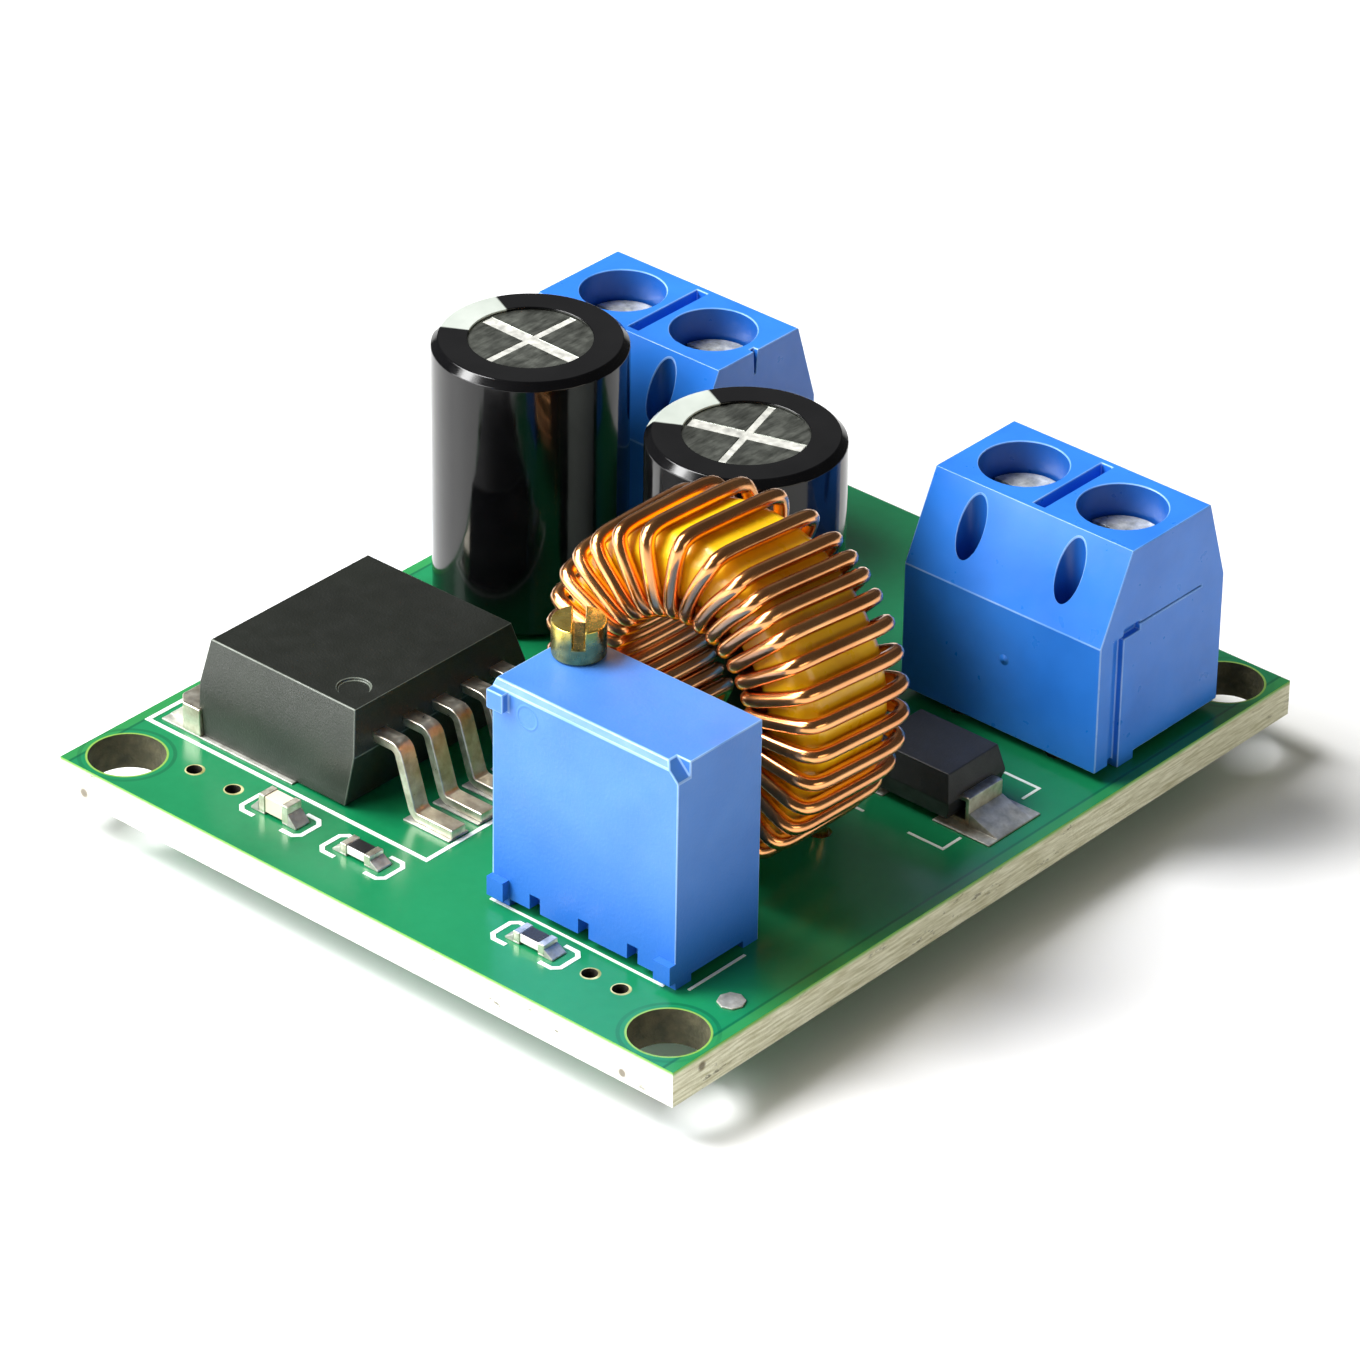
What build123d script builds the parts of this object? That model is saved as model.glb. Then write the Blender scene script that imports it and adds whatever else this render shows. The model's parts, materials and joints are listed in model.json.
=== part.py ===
from build123d import *
import math
import os

# Lengths are in millimetres and angles in degrees.
# X runs along the front edge of the board, Y runs to the back and Z is up.
# The origin lies under the middle of the board, level with the clipped ends of the leads.

# Board
BOARD_WIDTH = 33.0
BOARD_DEPTH = 38.3
BOARD_THICK = 1.6
MOUNT_HOLE_DIA = 3.2
MOUNT_HOLE_INSET = 1.9
VIA_DIA = 0.6
VIA_PLACES = ((-11.83, -16.2), (-9.65, -16.2), (9.70, -16.3), (11.28, -16.3))
TEST_PAD_DIA = 1.07
TEST_PAD_PLACE = (15.0, -14.1)
LEAD_HOLE_PLAY = 0.15
SMALL_HOLE_SIDES = 8
QUARTER_TURN = 90
HALF_TURN = 180

# Solder
TAIL_LENGTH = 1.6
JOINT_HEIGHT = 1.1
JOINT_RING = 0.55
JOINT_TAPER = 18.0
LAND_THICK = 0.08

# Screw terminals, two poles each
TERMINAL_PITCH = 5.08
TERMINAL_DEPTH = 8.0
TERMINAL_HEIGHT = 10.0
TERMINAL_FRONT_Y = 7.5
TERMINAL_LEFT_GAP = 0.0
TERMINAL_RIGHT_GAP = 1.035
FRONT_SLOPE_RUN = 1.8
FRONT_SLOPE_DROP = 3.77
BACK_SLOPE_RUN = 1.14
BACK_SLOPE_DROP = 3.65
HOUSING_LIFT = 0.4
FOOT_WIDTH = 1.04
FOOT_LENGTH = 0.6
FOOT_FRONT_INSET = 1.49
KEY_GROOVE_WIDTH = 0.64
KEY_GROOVE_DEPTH = 0.3
KEY_GROOVE_TOP = 6.2
KEY_NOTCH_HEIGHT = 0.43
KEY_NOTCH_BASE = 6.07
SEAM_HEIGHT = 6.4
SEAM_START = 2.25
SEAM_LENGTH = 4.28
SEAM_WIDTH = 0.07
SEAM_DEPTH = 0.1
POLE_SLOT_WIDTH = 0.55
POLE_SLOT_LENGTH = 4.36
POLE_SLOT_DEPTH = 1.6
SCREW_INSET = 4.34
WELL_PLAY = 0.15
PROBE_HOLE_DIA = 1.1
PROBE_HOLE_INSET = 1.07
WIRE_MOUTH_WIDTH = 3.4
WIRE_MOUTH_HEIGHT = 3.2
WIRE_MOUTH_DEPTH = 0.9
WIRE_MOUTH_TAPER = 15.0

# Terminal screw
SCREW_HEAD_DIA = 3.4
SCREW_HEAD_HEIGHT = 0.9
SCREW_HEAD_DEPTH = 1.4
SCREW_SHANK_DIA = 2.5
SCREW_THREAD_PITCH = 0.45
SCREW_TURNS = 5
SCREW_SLOT_WIDTH = 0.5
SCREW_SLOT_DEPTH = 0.5
SHELF_THICK = 0.4
SHELF_PLAY = 0.03
THREAD_PLAY = 0.03

# Rising clamp and contact strap
CLAMP_WIDTH = 3.9
CLAMP_LENGTH = 3.4
CLAMP_WALL = 0.5
CLAMP_NUT_THICK = 0.7
CLAMP_BASE = 0.6
CLAMP_CLOSED_GAP = 0.15
CLAMP_PLAY = 0.1
CONTACT_THICK = 0.6
CONTACT_WIDTH = 2.7
CONTACT_GAP = 0.1
TIP_GAP = 0.05
LEG_INSET = 1.1
LEG_PLAY = 0.1
TERMINAL_PIN_WIDTH = 1.0
TERMINAL_PIN_THICK = 0.6

# Trimmer
TRIMMER_WIDTH = 9.53
TRIMMER_DEPTH = 4.83
TRIMMER_TOP = 9.99
TRIMMER_LIFT = 0.33
TRIMMER_X = 8.13
TRIMMER_Y = -12.53
TRIMMER_FOOT = 0.9
TRIMMER_NUB_SIZE = 0.85
TRIMMER_NUB_STAND = 0.35
TRIMMER_TOP_EDGE = 0.25
TRIMMER_CORNER_CUT = 0.7
TRIMMER_NOTCH_WIDTH = 0.55
TRIMMER_NOTCH_HEIGHT = 0.7
TRIMMER_NOTCH_DEPTH = 0.5
TRIMMER_PIN_DIA = 0.51
TRIMMER_PIN_PITCH = 2.54
ADJUST_HEAD_DIA = 2.19
ADJUST_HEAD_HEIGHT = 1.52
ADJUST_NECK_DIA = 1.6
ADJUST_NECK_LENGTH = 2.2
ADJUST_INSET = 1.14
ADJUST_SLOT_WIDTH = 0.5
ADJUST_SLOT_DEPTH = 0.76
ADJUST_SLOT_ANGLE = -49.0
ADJUST_PLAY = 0.04
ADJUST_HEAD_GAP = 0.05

# Regulator, a tab and five leads
REGULATOR_Y = -9.30
REGULATOR_LEAD_END_X = -4.67
REGULATOR_LENGTH = 8.63
REGULATOR_WIDTH = 10.1
REGULATOR_HEIGHT = 4.5
REGULATOR_PARTING = 2.6
REGULATOR_TOP_DRAFT_X = 0.38
REGULATOR_TOP_DRAFT_Y = 0.49
REGULATOR_BASE_DRAFT_X = 0.7
REGULATOR_BASE_DRAFT_Y = 0.15
REGULATOR_TAB_END_LEAN = 0.3
PIN_MARK_DIA = 1.35
PIN_MARK_DEPTH = 0.12
PIN_MARK_INSET = 1.25
TAB_REACH = 1.45
TAB_WIDTH = 10.2
TAB_THICK = 1.27
TAB_CORNER = 0.5
TAB_INSIDE = 5.2
TAB_WAIST = 6.6
REGULATOR_LEAD_SPACING = 1.70
REGULATOR_LEADS = 5
REGULATOR_LEAD_WIDTH = 0.8
REGULATOR_LEAD_THICK = 0.4
LEAD_EXIT_HEIGHT = 2.97
LEAD_HELD = 0.9
LEAD_SHOULDER = 1.12
LEAD_KNEE = 2.0
LEAD_REACH = 4.12
LEAD_BEND = 0.45
LEAD_LAND_LENGTH = 2.5
LEAD_LAND_WIDTH = 1.15
TAB_LAND_MARGIN = 0.75

# Toroidal inductor, standing on edge
CORE_OUTER_DIA = 13.2
CORE_INNER_DIA = 7.5
CORE_WIDTH = 5.0
CORE_EDGE = 0.6
CORE_X = 7.10
CORE_Y = -5.53
CORE_CENTRE_HEIGHT = 7.76
WIRE_DIA = 0.63
WIRE_SIDES = 6
WIRE_GAP = 0.02
WIRE_CORNER_TURN = 45.0
TURNS = 28
TURN_PITCH = 10.92
FIRST_RIM_ANGLE = -68.0
FIRST_BORE_ANGLE = -66.6
RIM_LEAN = 3.0
BORE_LEAN = 3.0
BUNCH_SHIFT = 11.9
BUNCH_TURN = 13.4
BUNCH_SPREAD = 2.5

# Electrolytic capacitors: name, X, Y and the direction of the wide score
CAPACITOR_PLACES = (
    ("input", -11.40, 3.28, -1.5),
    ("output", 0.35, 3.28, 17.0),
)
CAN_DIA = 8.0
CAN_HEIGHT = 11.7
CAN_EDGE = 0.35
CAN_STAND_OFF = 0.3
SCORE_LENGTH = 5.0
SCORE_WIDTH = 0.55
SCORE_CROSS_WIDTH = 0.3
SCORE_DEPTH = 0.12
SLEEVE_THICK = 0.1
SLEEVE_GAP = 0.02
SLEEVE_OPENING = 5.2
SLEEVE_EDGE = 0.3
CAPACITOR_LEAD_DIA = 0.6
CAPACITOR_LEAD_PITCH = 3.5

# Diode
DIODE_X = 11.15
DIODE_Y = 2.57
DIODE_LENGTH = 4.5
DIODE_WIDTH = 3.6
DIODE_HEIGHT = 2.35
DIODE_PARTING = 1.15
DIODE_DRAFT = 0.25
DIODE_FLOOR = 0.25
DIODE_STRIP_WIDTH = 2.1
DIODE_STRIP_THICK = 0.2
DIODE_STRIP_REACH = 0.45
DIODE_STRIP_RETURN = 1.2
DIODE_STRIP_HELD = 0.3
DIODE_LAND_LENGTH = 2.92
DIODE_LAND_WIDTH = 3.26
DIODE_LAND_OUTER = 4.22

# Chip parts
CHIP_Y = -16.3
CHIPS = (
    ("chip_capacitor", -6.90, 0.80),
    ("chip_resistor_1", -2.40, 0.45),
    ("chip_resistor_2", 6.87, 0.45),
)
CHIP_LENGTH = 1.6
CHIP_WIDTH = 0.8
CHIP_CAP_LENGTH = 0.32
CHIP_PLATING = 0.04
CHIP_LAND_REACH = 0.45
CHIP_FILLET_SHARE = 0.6

# Heights that follow from the sizes above
BOARD_TOP = TAIL_LENGTH + BOARD_THICK
SEAT = BOARD_TOP + LAND_THICK
CORE_Z = BOARD_TOP + CORE_CENTRE_HEIGHT

# Solids by the name of the piece they belong to
PIECES = {}


def block(x0, x1, y0, y1, z0, z1):
    """A square-cornered block between two opposite corners."""
    middle = Pos((x0 + x1) / 2, (y0 + y1) / 2, (z0 + z1) / 2)
    return middle * Box(x1 - x0, y1 - y0, z1 - z0)


def rod(x, y, z0, z1, dia):
    """An upright round rod or hole."""
    return Pos(x, y, (z0 + z1) / 2) * Cylinder(dia / 2, z1 - z0)


def straight_wire(x, y, z0, z1, dia):
    """An upright stretch of wire; its sides are few and its corners lie on the wire's width."""
    return Pos(x, y, z0) * extrude(RegularPolygon(dia / 2, WIRE_SIDES), amount=z1 - z0)


def clear_hole(x, y, z0, z1, dia):
    """An upright hole of few sides whose flats stand off a round rod of this width."""
    plan = RegularPolygon(dia / 2, SMALL_HOLE_SIDES, major_radius=False)
    return Pos(x, y, z0) * extrude(plan, amount=z1 - z0)


def turned(x, y, outline):
    """A turned piece about an upright axis; the outline gives radius and height."""
    half = Plane.XZ * make_face(Polyline(*outline, close=True))
    return Pos(x, y, 0) * revolve(half, Axis.Z)


def strip(route, width, thick, bend_radius=0):
    """A flat strip along a route of X and Z values, centred on Y = 0, with round or sharp bends."""
    points = [(x, 0, z) for x, z in route]
    line = FilletPolyline(*points, radius=bend_radius) if bend_radius else Polyline(*points)
    section = Plane(origin=line @ 0, x_dir=(0, 1, 0), z_dir=line % 0) * Rectangle(width, thick)
    return sweep(section, path=line, transition=Transition.RIGHT)


def drafted_face(across, levels, base_cuts, top_cuts):
    """A six-sided section; levels are base, parting and top, and cuts are for the low and high side."""
    base, parting, top = levels
    half = across / 2
    return make_face(Polyline(
        (-half + base_cuts[0], base),
        (half - base_cuts[1], base),
        (half, parting),
        (half - top_cuts[1], top),
        (-half + top_cuts[0], top),
        (-half, parting),
        close=True,
    ))


def moulded_body(length, width, levels, base_cuts, top_cuts):
    """A moulded body drafted from its parting line; pairs of cuts are given along X and Y."""
    front = Plane.XZ * drafted_face(length, levels, base_cuts[0], top_cuts[0])
    side = Plane.YZ * drafted_face(width, levels, base_cuts[1], top_cuts[1])
    return extrude(front, amount=width / 2, both=True) & extrude(side, amount=length, both=True)


def ramp(x, y, length, width, height, heading):
    """A solder fillet: a wedge on the lands, tall at x, y and running down along its heading."""
    side = Plane.XZ * make_face(Polyline((0, 0), (length, 0), (0, height), close=True))
    wedge = extrude(side, amount=width / 2, both=True)
    return Pos(x, y, SEAT) * Rot(0, 0, heading) * wedge


def terminal_centres():
    """The middle of each terminal along X, by its name."""
    left = -BOARD_WIDTH / 2 + TERMINAL_LEFT_GAP + TERMINAL_PITCH
    right = BOARD_WIDTH / 2 - TERMINAL_RIGHT_GAP - TERMINAL_PITCH
    return {"input": left, "output": right}


def pole_centres(centre_x):
    """The X values of the two poles of a terminal."""
    return (centre_x - TERMINAL_PITCH / 2, centre_x + TERMINAL_PITCH / 2)


# Heights inside the screw terminal
TERMINAL_TOP = BOARD_TOP + TERMINAL_HEIGHT
TERMINAL_BACK_Y = TERMINAL_FRONT_Y + TERMINAL_DEPTH
SCREW_Y = TERMINAL_FRONT_Y + SCREW_INSET
HEAD_TOP = TERMINAL_TOP - SCREW_HEAD_DEPTH
HEAD_BASE = HEAD_TOP - SCREW_HEAD_HEIGHT
SHELF_TOP = HEAD_BASE - SHELF_PLAY
SHELF_BASE = SHELF_TOP - SHELF_THICK
CLAMP_Z = BOARD_TOP + CLAMP_BASE
CLAMP_FLOOR = CLAMP_Z + CLAMP_WALL
CLAMP_TRAVEL = SCREW_TURNS * SCREW_THREAD_PITCH
CLAMP_WINDOW = CONTACT_GAP + CONTACT_THICK + CLAMP_TRAVEL + CLAMP_CLOSED_GAP
NUT_BASE = CLAMP_FLOOR + CLAMP_WINDOW
CLAMP_TOP = NUT_BASE + CLAMP_NUT_THICK
CONTACT_TOP = NUT_BASE - CONTACT_GAP
CONTACT_BASE = CONTACT_TOP - CONTACT_THICK
SCREW_TIP = CONTACT_TOP + TIP_GAP
LEG_Y = TERMINAL_FRONT_Y + LEG_INSET


def terminal_profile(length):
    """The terminal housing's outer form, extruded along X about X = 0."""
    top = TERMINAL_TOP
    outline = Polyline(
        (TERMINAL_FRONT_Y, BOARD_TOP + HOUSING_LIFT),
        (TERMINAL_FRONT_Y, top - FRONT_SLOPE_DROP),
        (TERMINAL_FRONT_Y + FRONT_SLOPE_RUN, top),
        (TERMINAL_BACK_Y - BACK_SLOPE_RUN, top),
        (TERMINAL_BACK_Y, top - BACK_SLOPE_DROP),
        (TERMINAL_BACK_Y, BOARD_TOP + HOUSING_LIFT),
        close=True,
    )
    return extrude(Plane.YZ * make_face(outline), amount=length / 2, both=True)


def pole_cavity():
    """What is hollow in the housing at one pole, about X = 0."""
    low = BOARD_TOP
    reach_x = CLAMP_WIDTH / 2 + CLAMP_PLAY
    reach_y = CLAMP_LENGTH / 2 + CLAMP_PLAY
    chamber = block(-reach_x, reach_x, SCREW_Y - reach_y, SCREW_Y + reach_y, low, SHELF_BASE)
    leg_front = LEG_Y - CONTACT_THICK / 2 - LEG_PLAY
    leg_side = CONTACT_WIDTH / 2 + LEG_PLAY
    leg_room = block(-leg_side, leg_side, leg_front, SCREW_Y, low, CONTACT_TOP + LEG_PLAY)
    well = rod(0, SCREW_Y, SHELF_TOP, TERMINAL_TOP, SCREW_HEAD_DIA + 2 * WELL_PLAY)
    shaft = clear_hole(0, SCREW_Y, SHELF_BASE, SHELF_TOP, SCREW_SHANK_DIA + 2 * SHELF_PLAY)
    probe_y = TERMINAL_FRONT_Y + PROBE_HOLE_INSET
    probe = clear_hole(0, probe_y, CONTACT_TOP, TERMINAL_TOP, PROBE_HOLE_DIA)
    window_side = CLAMP_WIDTH / 2 - CLAMP_WALL
    window = block(-window_side, window_side, SCREW_Y, TERMINAL_BACK_Y, CLAMP_FLOOR, CONTACT_BASE)
    return chamber + leg_room + well + shaft + probe + window + wire_mouth()


def wire_mouth():
    """The funnel at the back face through which a wire enters."""
    middle = (CLAMP_FLOOR + CONTACT_BASE) / 2
    face = Plane(origin=(0, TERMINAL_BACK_Y, middle), x_dir=(1, 0, 0), z_dir=(0, -1, 0))
    mouth = extrude(face * Rectangle(WIRE_MOUTH_WIDTH, WIRE_MOUTH_HEIGHT), amount=WIRE_MOUTH_DEPTH)
    walls = mouth.faces().filter_by(Axis.Y, reverse=True)
    return draft(walls, face, WIRE_MOUTH_TAPER)


def end_key(end_x):
    """The key groove, the notch and the cover's seam in the right end face, as one cut."""
    groove_y = TERMINAL_FRONT_Y + FOOT_FRONT_INSET - KEY_GROOVE_WIDTH
    foot_y = groove_y + KEY_GROOVE_WIDTH
    inner_x = end_x - KEY_GROOVE_DEPTH
    groove = block(inner_x, end_x, groove_y, foot_y, BOARD_TOP, BOARD_TOP + KEY_GROOVE_TOP)
    notch_base = BOARD_TOP + KEY_NOTCH_BASE
    notch_top = notch_base + KEY_NOTCH_HEIGHT
    notch = block(inner_x, end_x, foot_y, foot_y + FOOT_WIDTH, notch_base, notch_top)
    seam_y = TERMINAL_FRONT_Y + SEAM_START
    seam_z = BOARD_TOP + SEAM_HEIGHT
    seam_end = seam_y + SEAM_LENGTH
    seam = block(end_x - SEAM_DEPTH, end_x, seam_y, seam_end, seam_z - SEAM_WIDTH, seam_z)
    return groove + notch + seam


def terminal_feet(half_length):
    """Feet at both ends and under the wall between the poles."""
    front = TERMINAL_FRONT_Y + FOOT_FRONT_INSET
    back = front + FOOT_WIDTH
    top = BOARD_TOP + HOUSING_LIFT
    right = block(half_length - FOOT_LENGTH, half_length, front, back, BOARD_TOP, top)
    left = block(-half_length, -half_length + FOOT_LENGTH, front, back, BOARD_TOP, top)
    wall = TERMINAL_PITCH / 2 - CLAMP_WIDTH / 2 - CLAMP_PLAY
    centre = block(-wall, wall, SCREW_Y, SCREW_Y + CLAMP_LENGTH / 2, BOARD_TOP, top)
    return right + left + centre


def terminal_housing(centre_x):
    """The blue two-pole housing with its wells, probe holes, wire entries and chambers."""
    half_length = TERMINAL_PITCH
    body = terminal_profile(2 * half_length) + terminal_feet(half_length)
    for pole_x in pole_centres(0):
        body -= Pos(pole_x, 0, 0) * pole_cavity()
    slot_base = TERMINAL_TOP - POLE_SLOT_DEPTH
    slot_y = (2 * SCREW_Y - POLE_SLOT_LENGTH) / 2
    slot_side = POLE_SLOT_WIDTH / 2
    body -= block(-slot_side, slot_side, slot_y, slot_y + POLE_SLOT_LENGTH, slot_base, TERMINAL_TOP)
    body -= end_key(half_length)
    return Pos(centre_x, 0, 0) * body


def terminal_screw(x):
    """A slotted clamp screw that turns under the shelf of the housing."""
    head_radius = SCREW_HEAD_DIA / 2
    shank_radius = SCREW_SHANK_DIA / 2
    screw = turned(x, SCREW_Y, (
        (0, SCREW_TIP),
        (shank_radius, SCREW_TIP),
        (shank_radius, HEAD_BASE),
        (head_radius, HEAD_BASE),
        (head_radius, HEAD_TOP),
        (0, HEAD_TOP),
    ))
    reach = SCREW_HEAD_DIA
    slot = block(-reach, reach, -SCREW_SLOT_WIDTH / 2, SCREW_SLOT_WIDTH / 2,
                 HEAD_TOP - SCREW_SLOT_DEPTH, HEAD_TOP)
    return screw - Pos(x, SCREW_Y, 0) * slot


def terminal_clamp(x):
    """The cage that the screw lifts: a square ring with a threaded top wall."""
    half_width = CLAMP_WIDTH / 2
    half_length = CLAMP_LENGTH / 2
    cage = block(-half_width, half_width, -half_length, half_length, CLAMP_Z, CLAMP_TOP)
    inner = half_width - CLAMP_WALL
    cage -= block(-inner, inner, -half_length, half_length, CLAMP_FLOOR, NUT_BASE)
    cage -= clear_hole(0, 0, NUT_BASE, CLAMP_TOP, SCREW_SHANK_DIA + 2 * THREAD_PLAY)
    return Pos(x, SCREW_Y, 0) * cage


def terminal_contact(x):
    """The fixed strap under which the wire is clamped, with its leg and solder pin."""
    plate_z = (CONTACT_TOP + CONTACT_BASE) / 2
    plate_end = SCREW_Y + CLAMP_LENGTH / 2 - CLAMP_PLAY
    shoulder = BOARD_TOP + HOUSING_LIFT
    route = ((plate_end, plate_z), (LEG_Y, plate_z), (LEG_Y, shoulder))
    strap = Rot(0, 0, QUARTER_TURN) * strip(route, CONTACT_WIDTH, CONTACT_THICK)
    side = TERMINAL_PIN_WIDTH / 2
    face = TERMINAL_PIN_THICK / 2
    pin = block(-side, side, LEG_Y - face, LEG_Y + face, 0, shoulder)
    return Pos(x, 0, 0) * (strap + pin)


def add_terminals():
    """Both screw terminals: housings, screws, clamps and contact straps."""
    for name, centre_x in terminal_centres().items():
        PIECES[name + "_terminal_housing"] = [terminal_housing(centre_x)]
        contacts = []
        for number, pole_x in enumerate(pole_centres(centre_x), start=1):
            PIECES[f"{name}_terminal_screw_{number}"] = [terminal_screw(pole_x)]
            PIECES[f"{name}_terminal_clamp_{number}"] = [terminal_clamp(pole_x)]
            contacts.append(terminal_contact(pole_x))
        PIECES[name + "_terminal_contacts"] = contacts


# Places on the trimmer
TRIMMER_BASE = BOARD_TOP + TRIMMER_LIFT
TRIMMER_CROWN = BOARD_TOP + TRIMMER_TOP
TRIMMER_LEFT = TRIMMER_X - TRIMMER_WIDTH / 2
TRIMMER_RIGHT = TRIMMER_X + TRIMMER_WIDTH / 2
TRIMMER_FRONT = TRIMMER_Y - TRIMMER_DEPTH / 2
TRIMMER_BACK = TRIMMER_Y + TRIMMER_DEPTH / 2
ADJUST_X = TRIMMER_LEFT + ADJUST_INSET
ADJUST_Y = TRIMMER_BACK - ADJUST_INSET


def trimmer_pin_places():
    """The X values of the three trimmer pins."""
    return [TRIMMER_X + step * TRIMMER_PIN_PITCH for step in (-1, 0, 1)]


def trimmer_shell():
    """The trimmer's case: rounded round its screw, with cut top edges."""
    plan = block(TRIMMER_LEFT, TRIMMER_RIGHT, TRIMMER_FRONT, TRIMMER_BACK, TRIMMER_BASE, TRIMMER_CROWN)
    uprights = plan.edges().filter_by(Axis.Z)
    screw_corner = uprights.sort_by_distance((TRIMMER_LEFT, TRIMMER_BACK, TRIMMER_BASE))[0]
    case = fillet(screw_corner, ADJUST_INSET)
    top_edges = case.edges().filter_by(Axis.X).group_by(Axis.Z)[-1]
    front_edge = top_edges.sort_by(Axis.Y)[0]
    case = chamfer(front_edge, TRIMMER_TOP_EDGE)
    corner = make_face(Polyline(
        (TRIMMER_RIGHT, TRIMMER_CROWN),
        (TRIMMER_RIGHT, TRIMMER_CROWN - TRIMMER_CORNER_CUT),
        (TRIMMER_RIGHT - TRIMMER_CORNER_CUT, TRIMMER_CROWN),
        close=True,
    ))
    cut = Pos(0, TRIMMER_FRONT, 0) * extrude(Plane.XZ * corner, amount=-TRIMMER_CORNER_CUT)
    return case - cut


def trimmer_housing():
    """The blue case with its feet, front nubs, pin notches and screw socket."""
    case = trimmer_shell()
    for x in (TRIMMER_LEFT, TRIMMER_RIGHT - TRIMMER_FOOT):
        for y in (TRIMMER_FRONT, TRIMMER_BACK - TRIMMER_FOOT):
            case += block(x, x + TRIMMER_FOOT, y, y + TRIMMER_FOOT, BOARD_TOP, TRIMMER_BASE)
    stand = TRIMMER_FRONT - TRIMMER_NUB_STAND
    low = TRIMMER_BASE
    high = TRIMMER_CROWN - TRIMMER_TOP_EDGE - TRIMMER_NUB_SIZE
    far = TRIMMER_RIGHT - TRIMMER_NUB_SIZE
    for x, z in ((TRIMMER_LEFT, high), (TRIMMER_LEFT, low), (far, low)):
        case += block(x, x + TRIMMER_NUB_SIZE, stand, TRIMMER_FRONT, z, z + TRIMMER_NUB_SIZE)
    half = TRIMMER_NOTCH_WIDTH / 2
    back = TRIMMER_FRONT + TRIMMER_NOTCH_DEPTH
    for x in trimmer_pin_places():
        case -= block(x - half, x + half, TRIMMER_FRONT, back, low, low + TRIMMER_NOTCH_HEIGHT)
    socket_base = TRIMMER_CROWN - ADJUST_NECK_LENGTH - ADJUST_PLAY
    case -= rod(ADJUST_X, ADJUST_Y, socket_base, TRIMMER_CROWN, ADJUST_NECK_DIA + 2 * ADJUST_PLAY)
    return case


def trimmer_screw():
    """The brass adjusting screw: a slotted head on a neck that turns in the case."""
    head_radius = ADJUST_HEAD_DIA / 2
    neck_radius = ADJUST_NECK_DIA / 2
    head_base = TRIMMER_CROWN + ADJUST_HEAD_GAP
    top = TRIMMER_CROWN + ADJUST_HEAD_HEIGHT
    screw = turned(ADJUST_X, ADJUST_Y, (
        (0, TRIMMER_CROWN - ADJUST_NECK_LENGTH),
        (neck_radius, TRIMMER_CROWN - ADJUST_NECK_LENGTH),
        (neck_radius, head_base),
        (head_radius, head_base),
        (head_radius, top),
        (0, top),
    ))
    slot = Box(2 * ADJUST_HEAD_DIA, ADJUST_SLOT_WIDTH, 2 * ADJUST_SLOT_DEPTH)
    return screw - Pos(ADJUST_X, ADJUST_Y, top) * Rot(0, 0, ADJUST_SLOT_ANGLE) * slot


def add_trimmer():
    """The trimmer: case, adjusting screw and three pins."""
    PIECES["trimmer_housing"] = [trimmer_housing()]
    PIECES["trimmer_screw"] = [trimmer_screw()]
    PIECES["trimmer_pins"] = [
        straight_wire(x, TRIMMER_Y, 0, TRIMMER_BASE, TRIMMER_PIN_DIA) for x in trimmer_pin_places()
    ]


# Places on the regulator
REGULATOR_X = REGULATOR_LEAD_END_X - REGULATOR_LENGTH / 2
REGULATOR_TAB_END_X = REGULATOR_LEAD_END_X - REGULATOR_LENGTH


def regulator_lead_places():
    """The Y values of the five leads, from front to back."""
    first = REGULATOR_Y - REGULATOR_LEAD_SPACING * (REGULATOR_LEADS - 1) / 2
    return [first + step * REGULATOR_LEAD_SPACING for step in range(REGULATOR_LEADS)]


def regulator_lead():
    """One formed lead about Y = 0, from inside the body to its foot on the land."""
    exit_z = SEAT + LEAD_EXIT_HEIGHT
    foot_z = SEAT + REGULATOR_LEAD_THICK / 2
    start = REGULATOR_LEAD_END_X
    route = (
        (start - LEAD_HELD, exit_z),
        (start + LEAD_SHOULDER, exit_z),
        (start + LEAD_KNEE, foot_z),
        (start + LEAD_REACH, foot_z),
    )
    return strip(route, REGULATOR_LEAD_WIDTH, REGULATOR_LEAD_THICK, LEAD_BEND)


def regulator_tab():
    """The tab with the centre lead, which climbs to it inside the body."""
    outer_x = REGULATOR_TAB_END_X - TAB_REACH
    inner_x = REGULATOR_TAB_END_X + TAB_INSIDE
    waist = TAB_WAIST / 2
    side = TAB_WIDTH / 2
    plan = make_face(Polyline(
        (inner_x, -waist),
        (REGULATOR_TAB_END_X, -waist),
        (REGULATOR_TAB_END_X, -side),
        (outer_x + TAB_CORNER, -side),
        (outer_x, -side + TAB_CORNER),
        (outer_x, side - TAB_CORNER),
        (outer_x + TAB_CORNER, side),
        (REGULATOR_TAB_END_X, side),
        (REGULATOR_TAB_END_X, waist),
        (inner_x, waist),
        close=True,
    ))
    plate = Pos(0, 0, SEAT) * extrude(plan, amount=TAB_THICK)
    link_end = REGULATOR_LEAD_END_X - LEAD_HELD
    link_top = SEAT + LEAD_EXIT_HEIGHT + REGULATOR_LEAD_THICK / 2
    link_side = REGULATOR_LEAD_WIDTH / 2
    link = block(inner_x - REGULATOR_LEAD_THICK, inner_x, -link_side, link_side, SEAT, link_top)
    bridge_z = link_top - REGULATOR_LEAD_THICK
    bridge = block(inner_x - REGULATOR_LEAD_THICK, link_end, -link_side, link_side, bridge_z, link_top)
    return Pos(0, REGULATOR_Y, 0) * (plate + link + bridge + regulator_lead())


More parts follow.
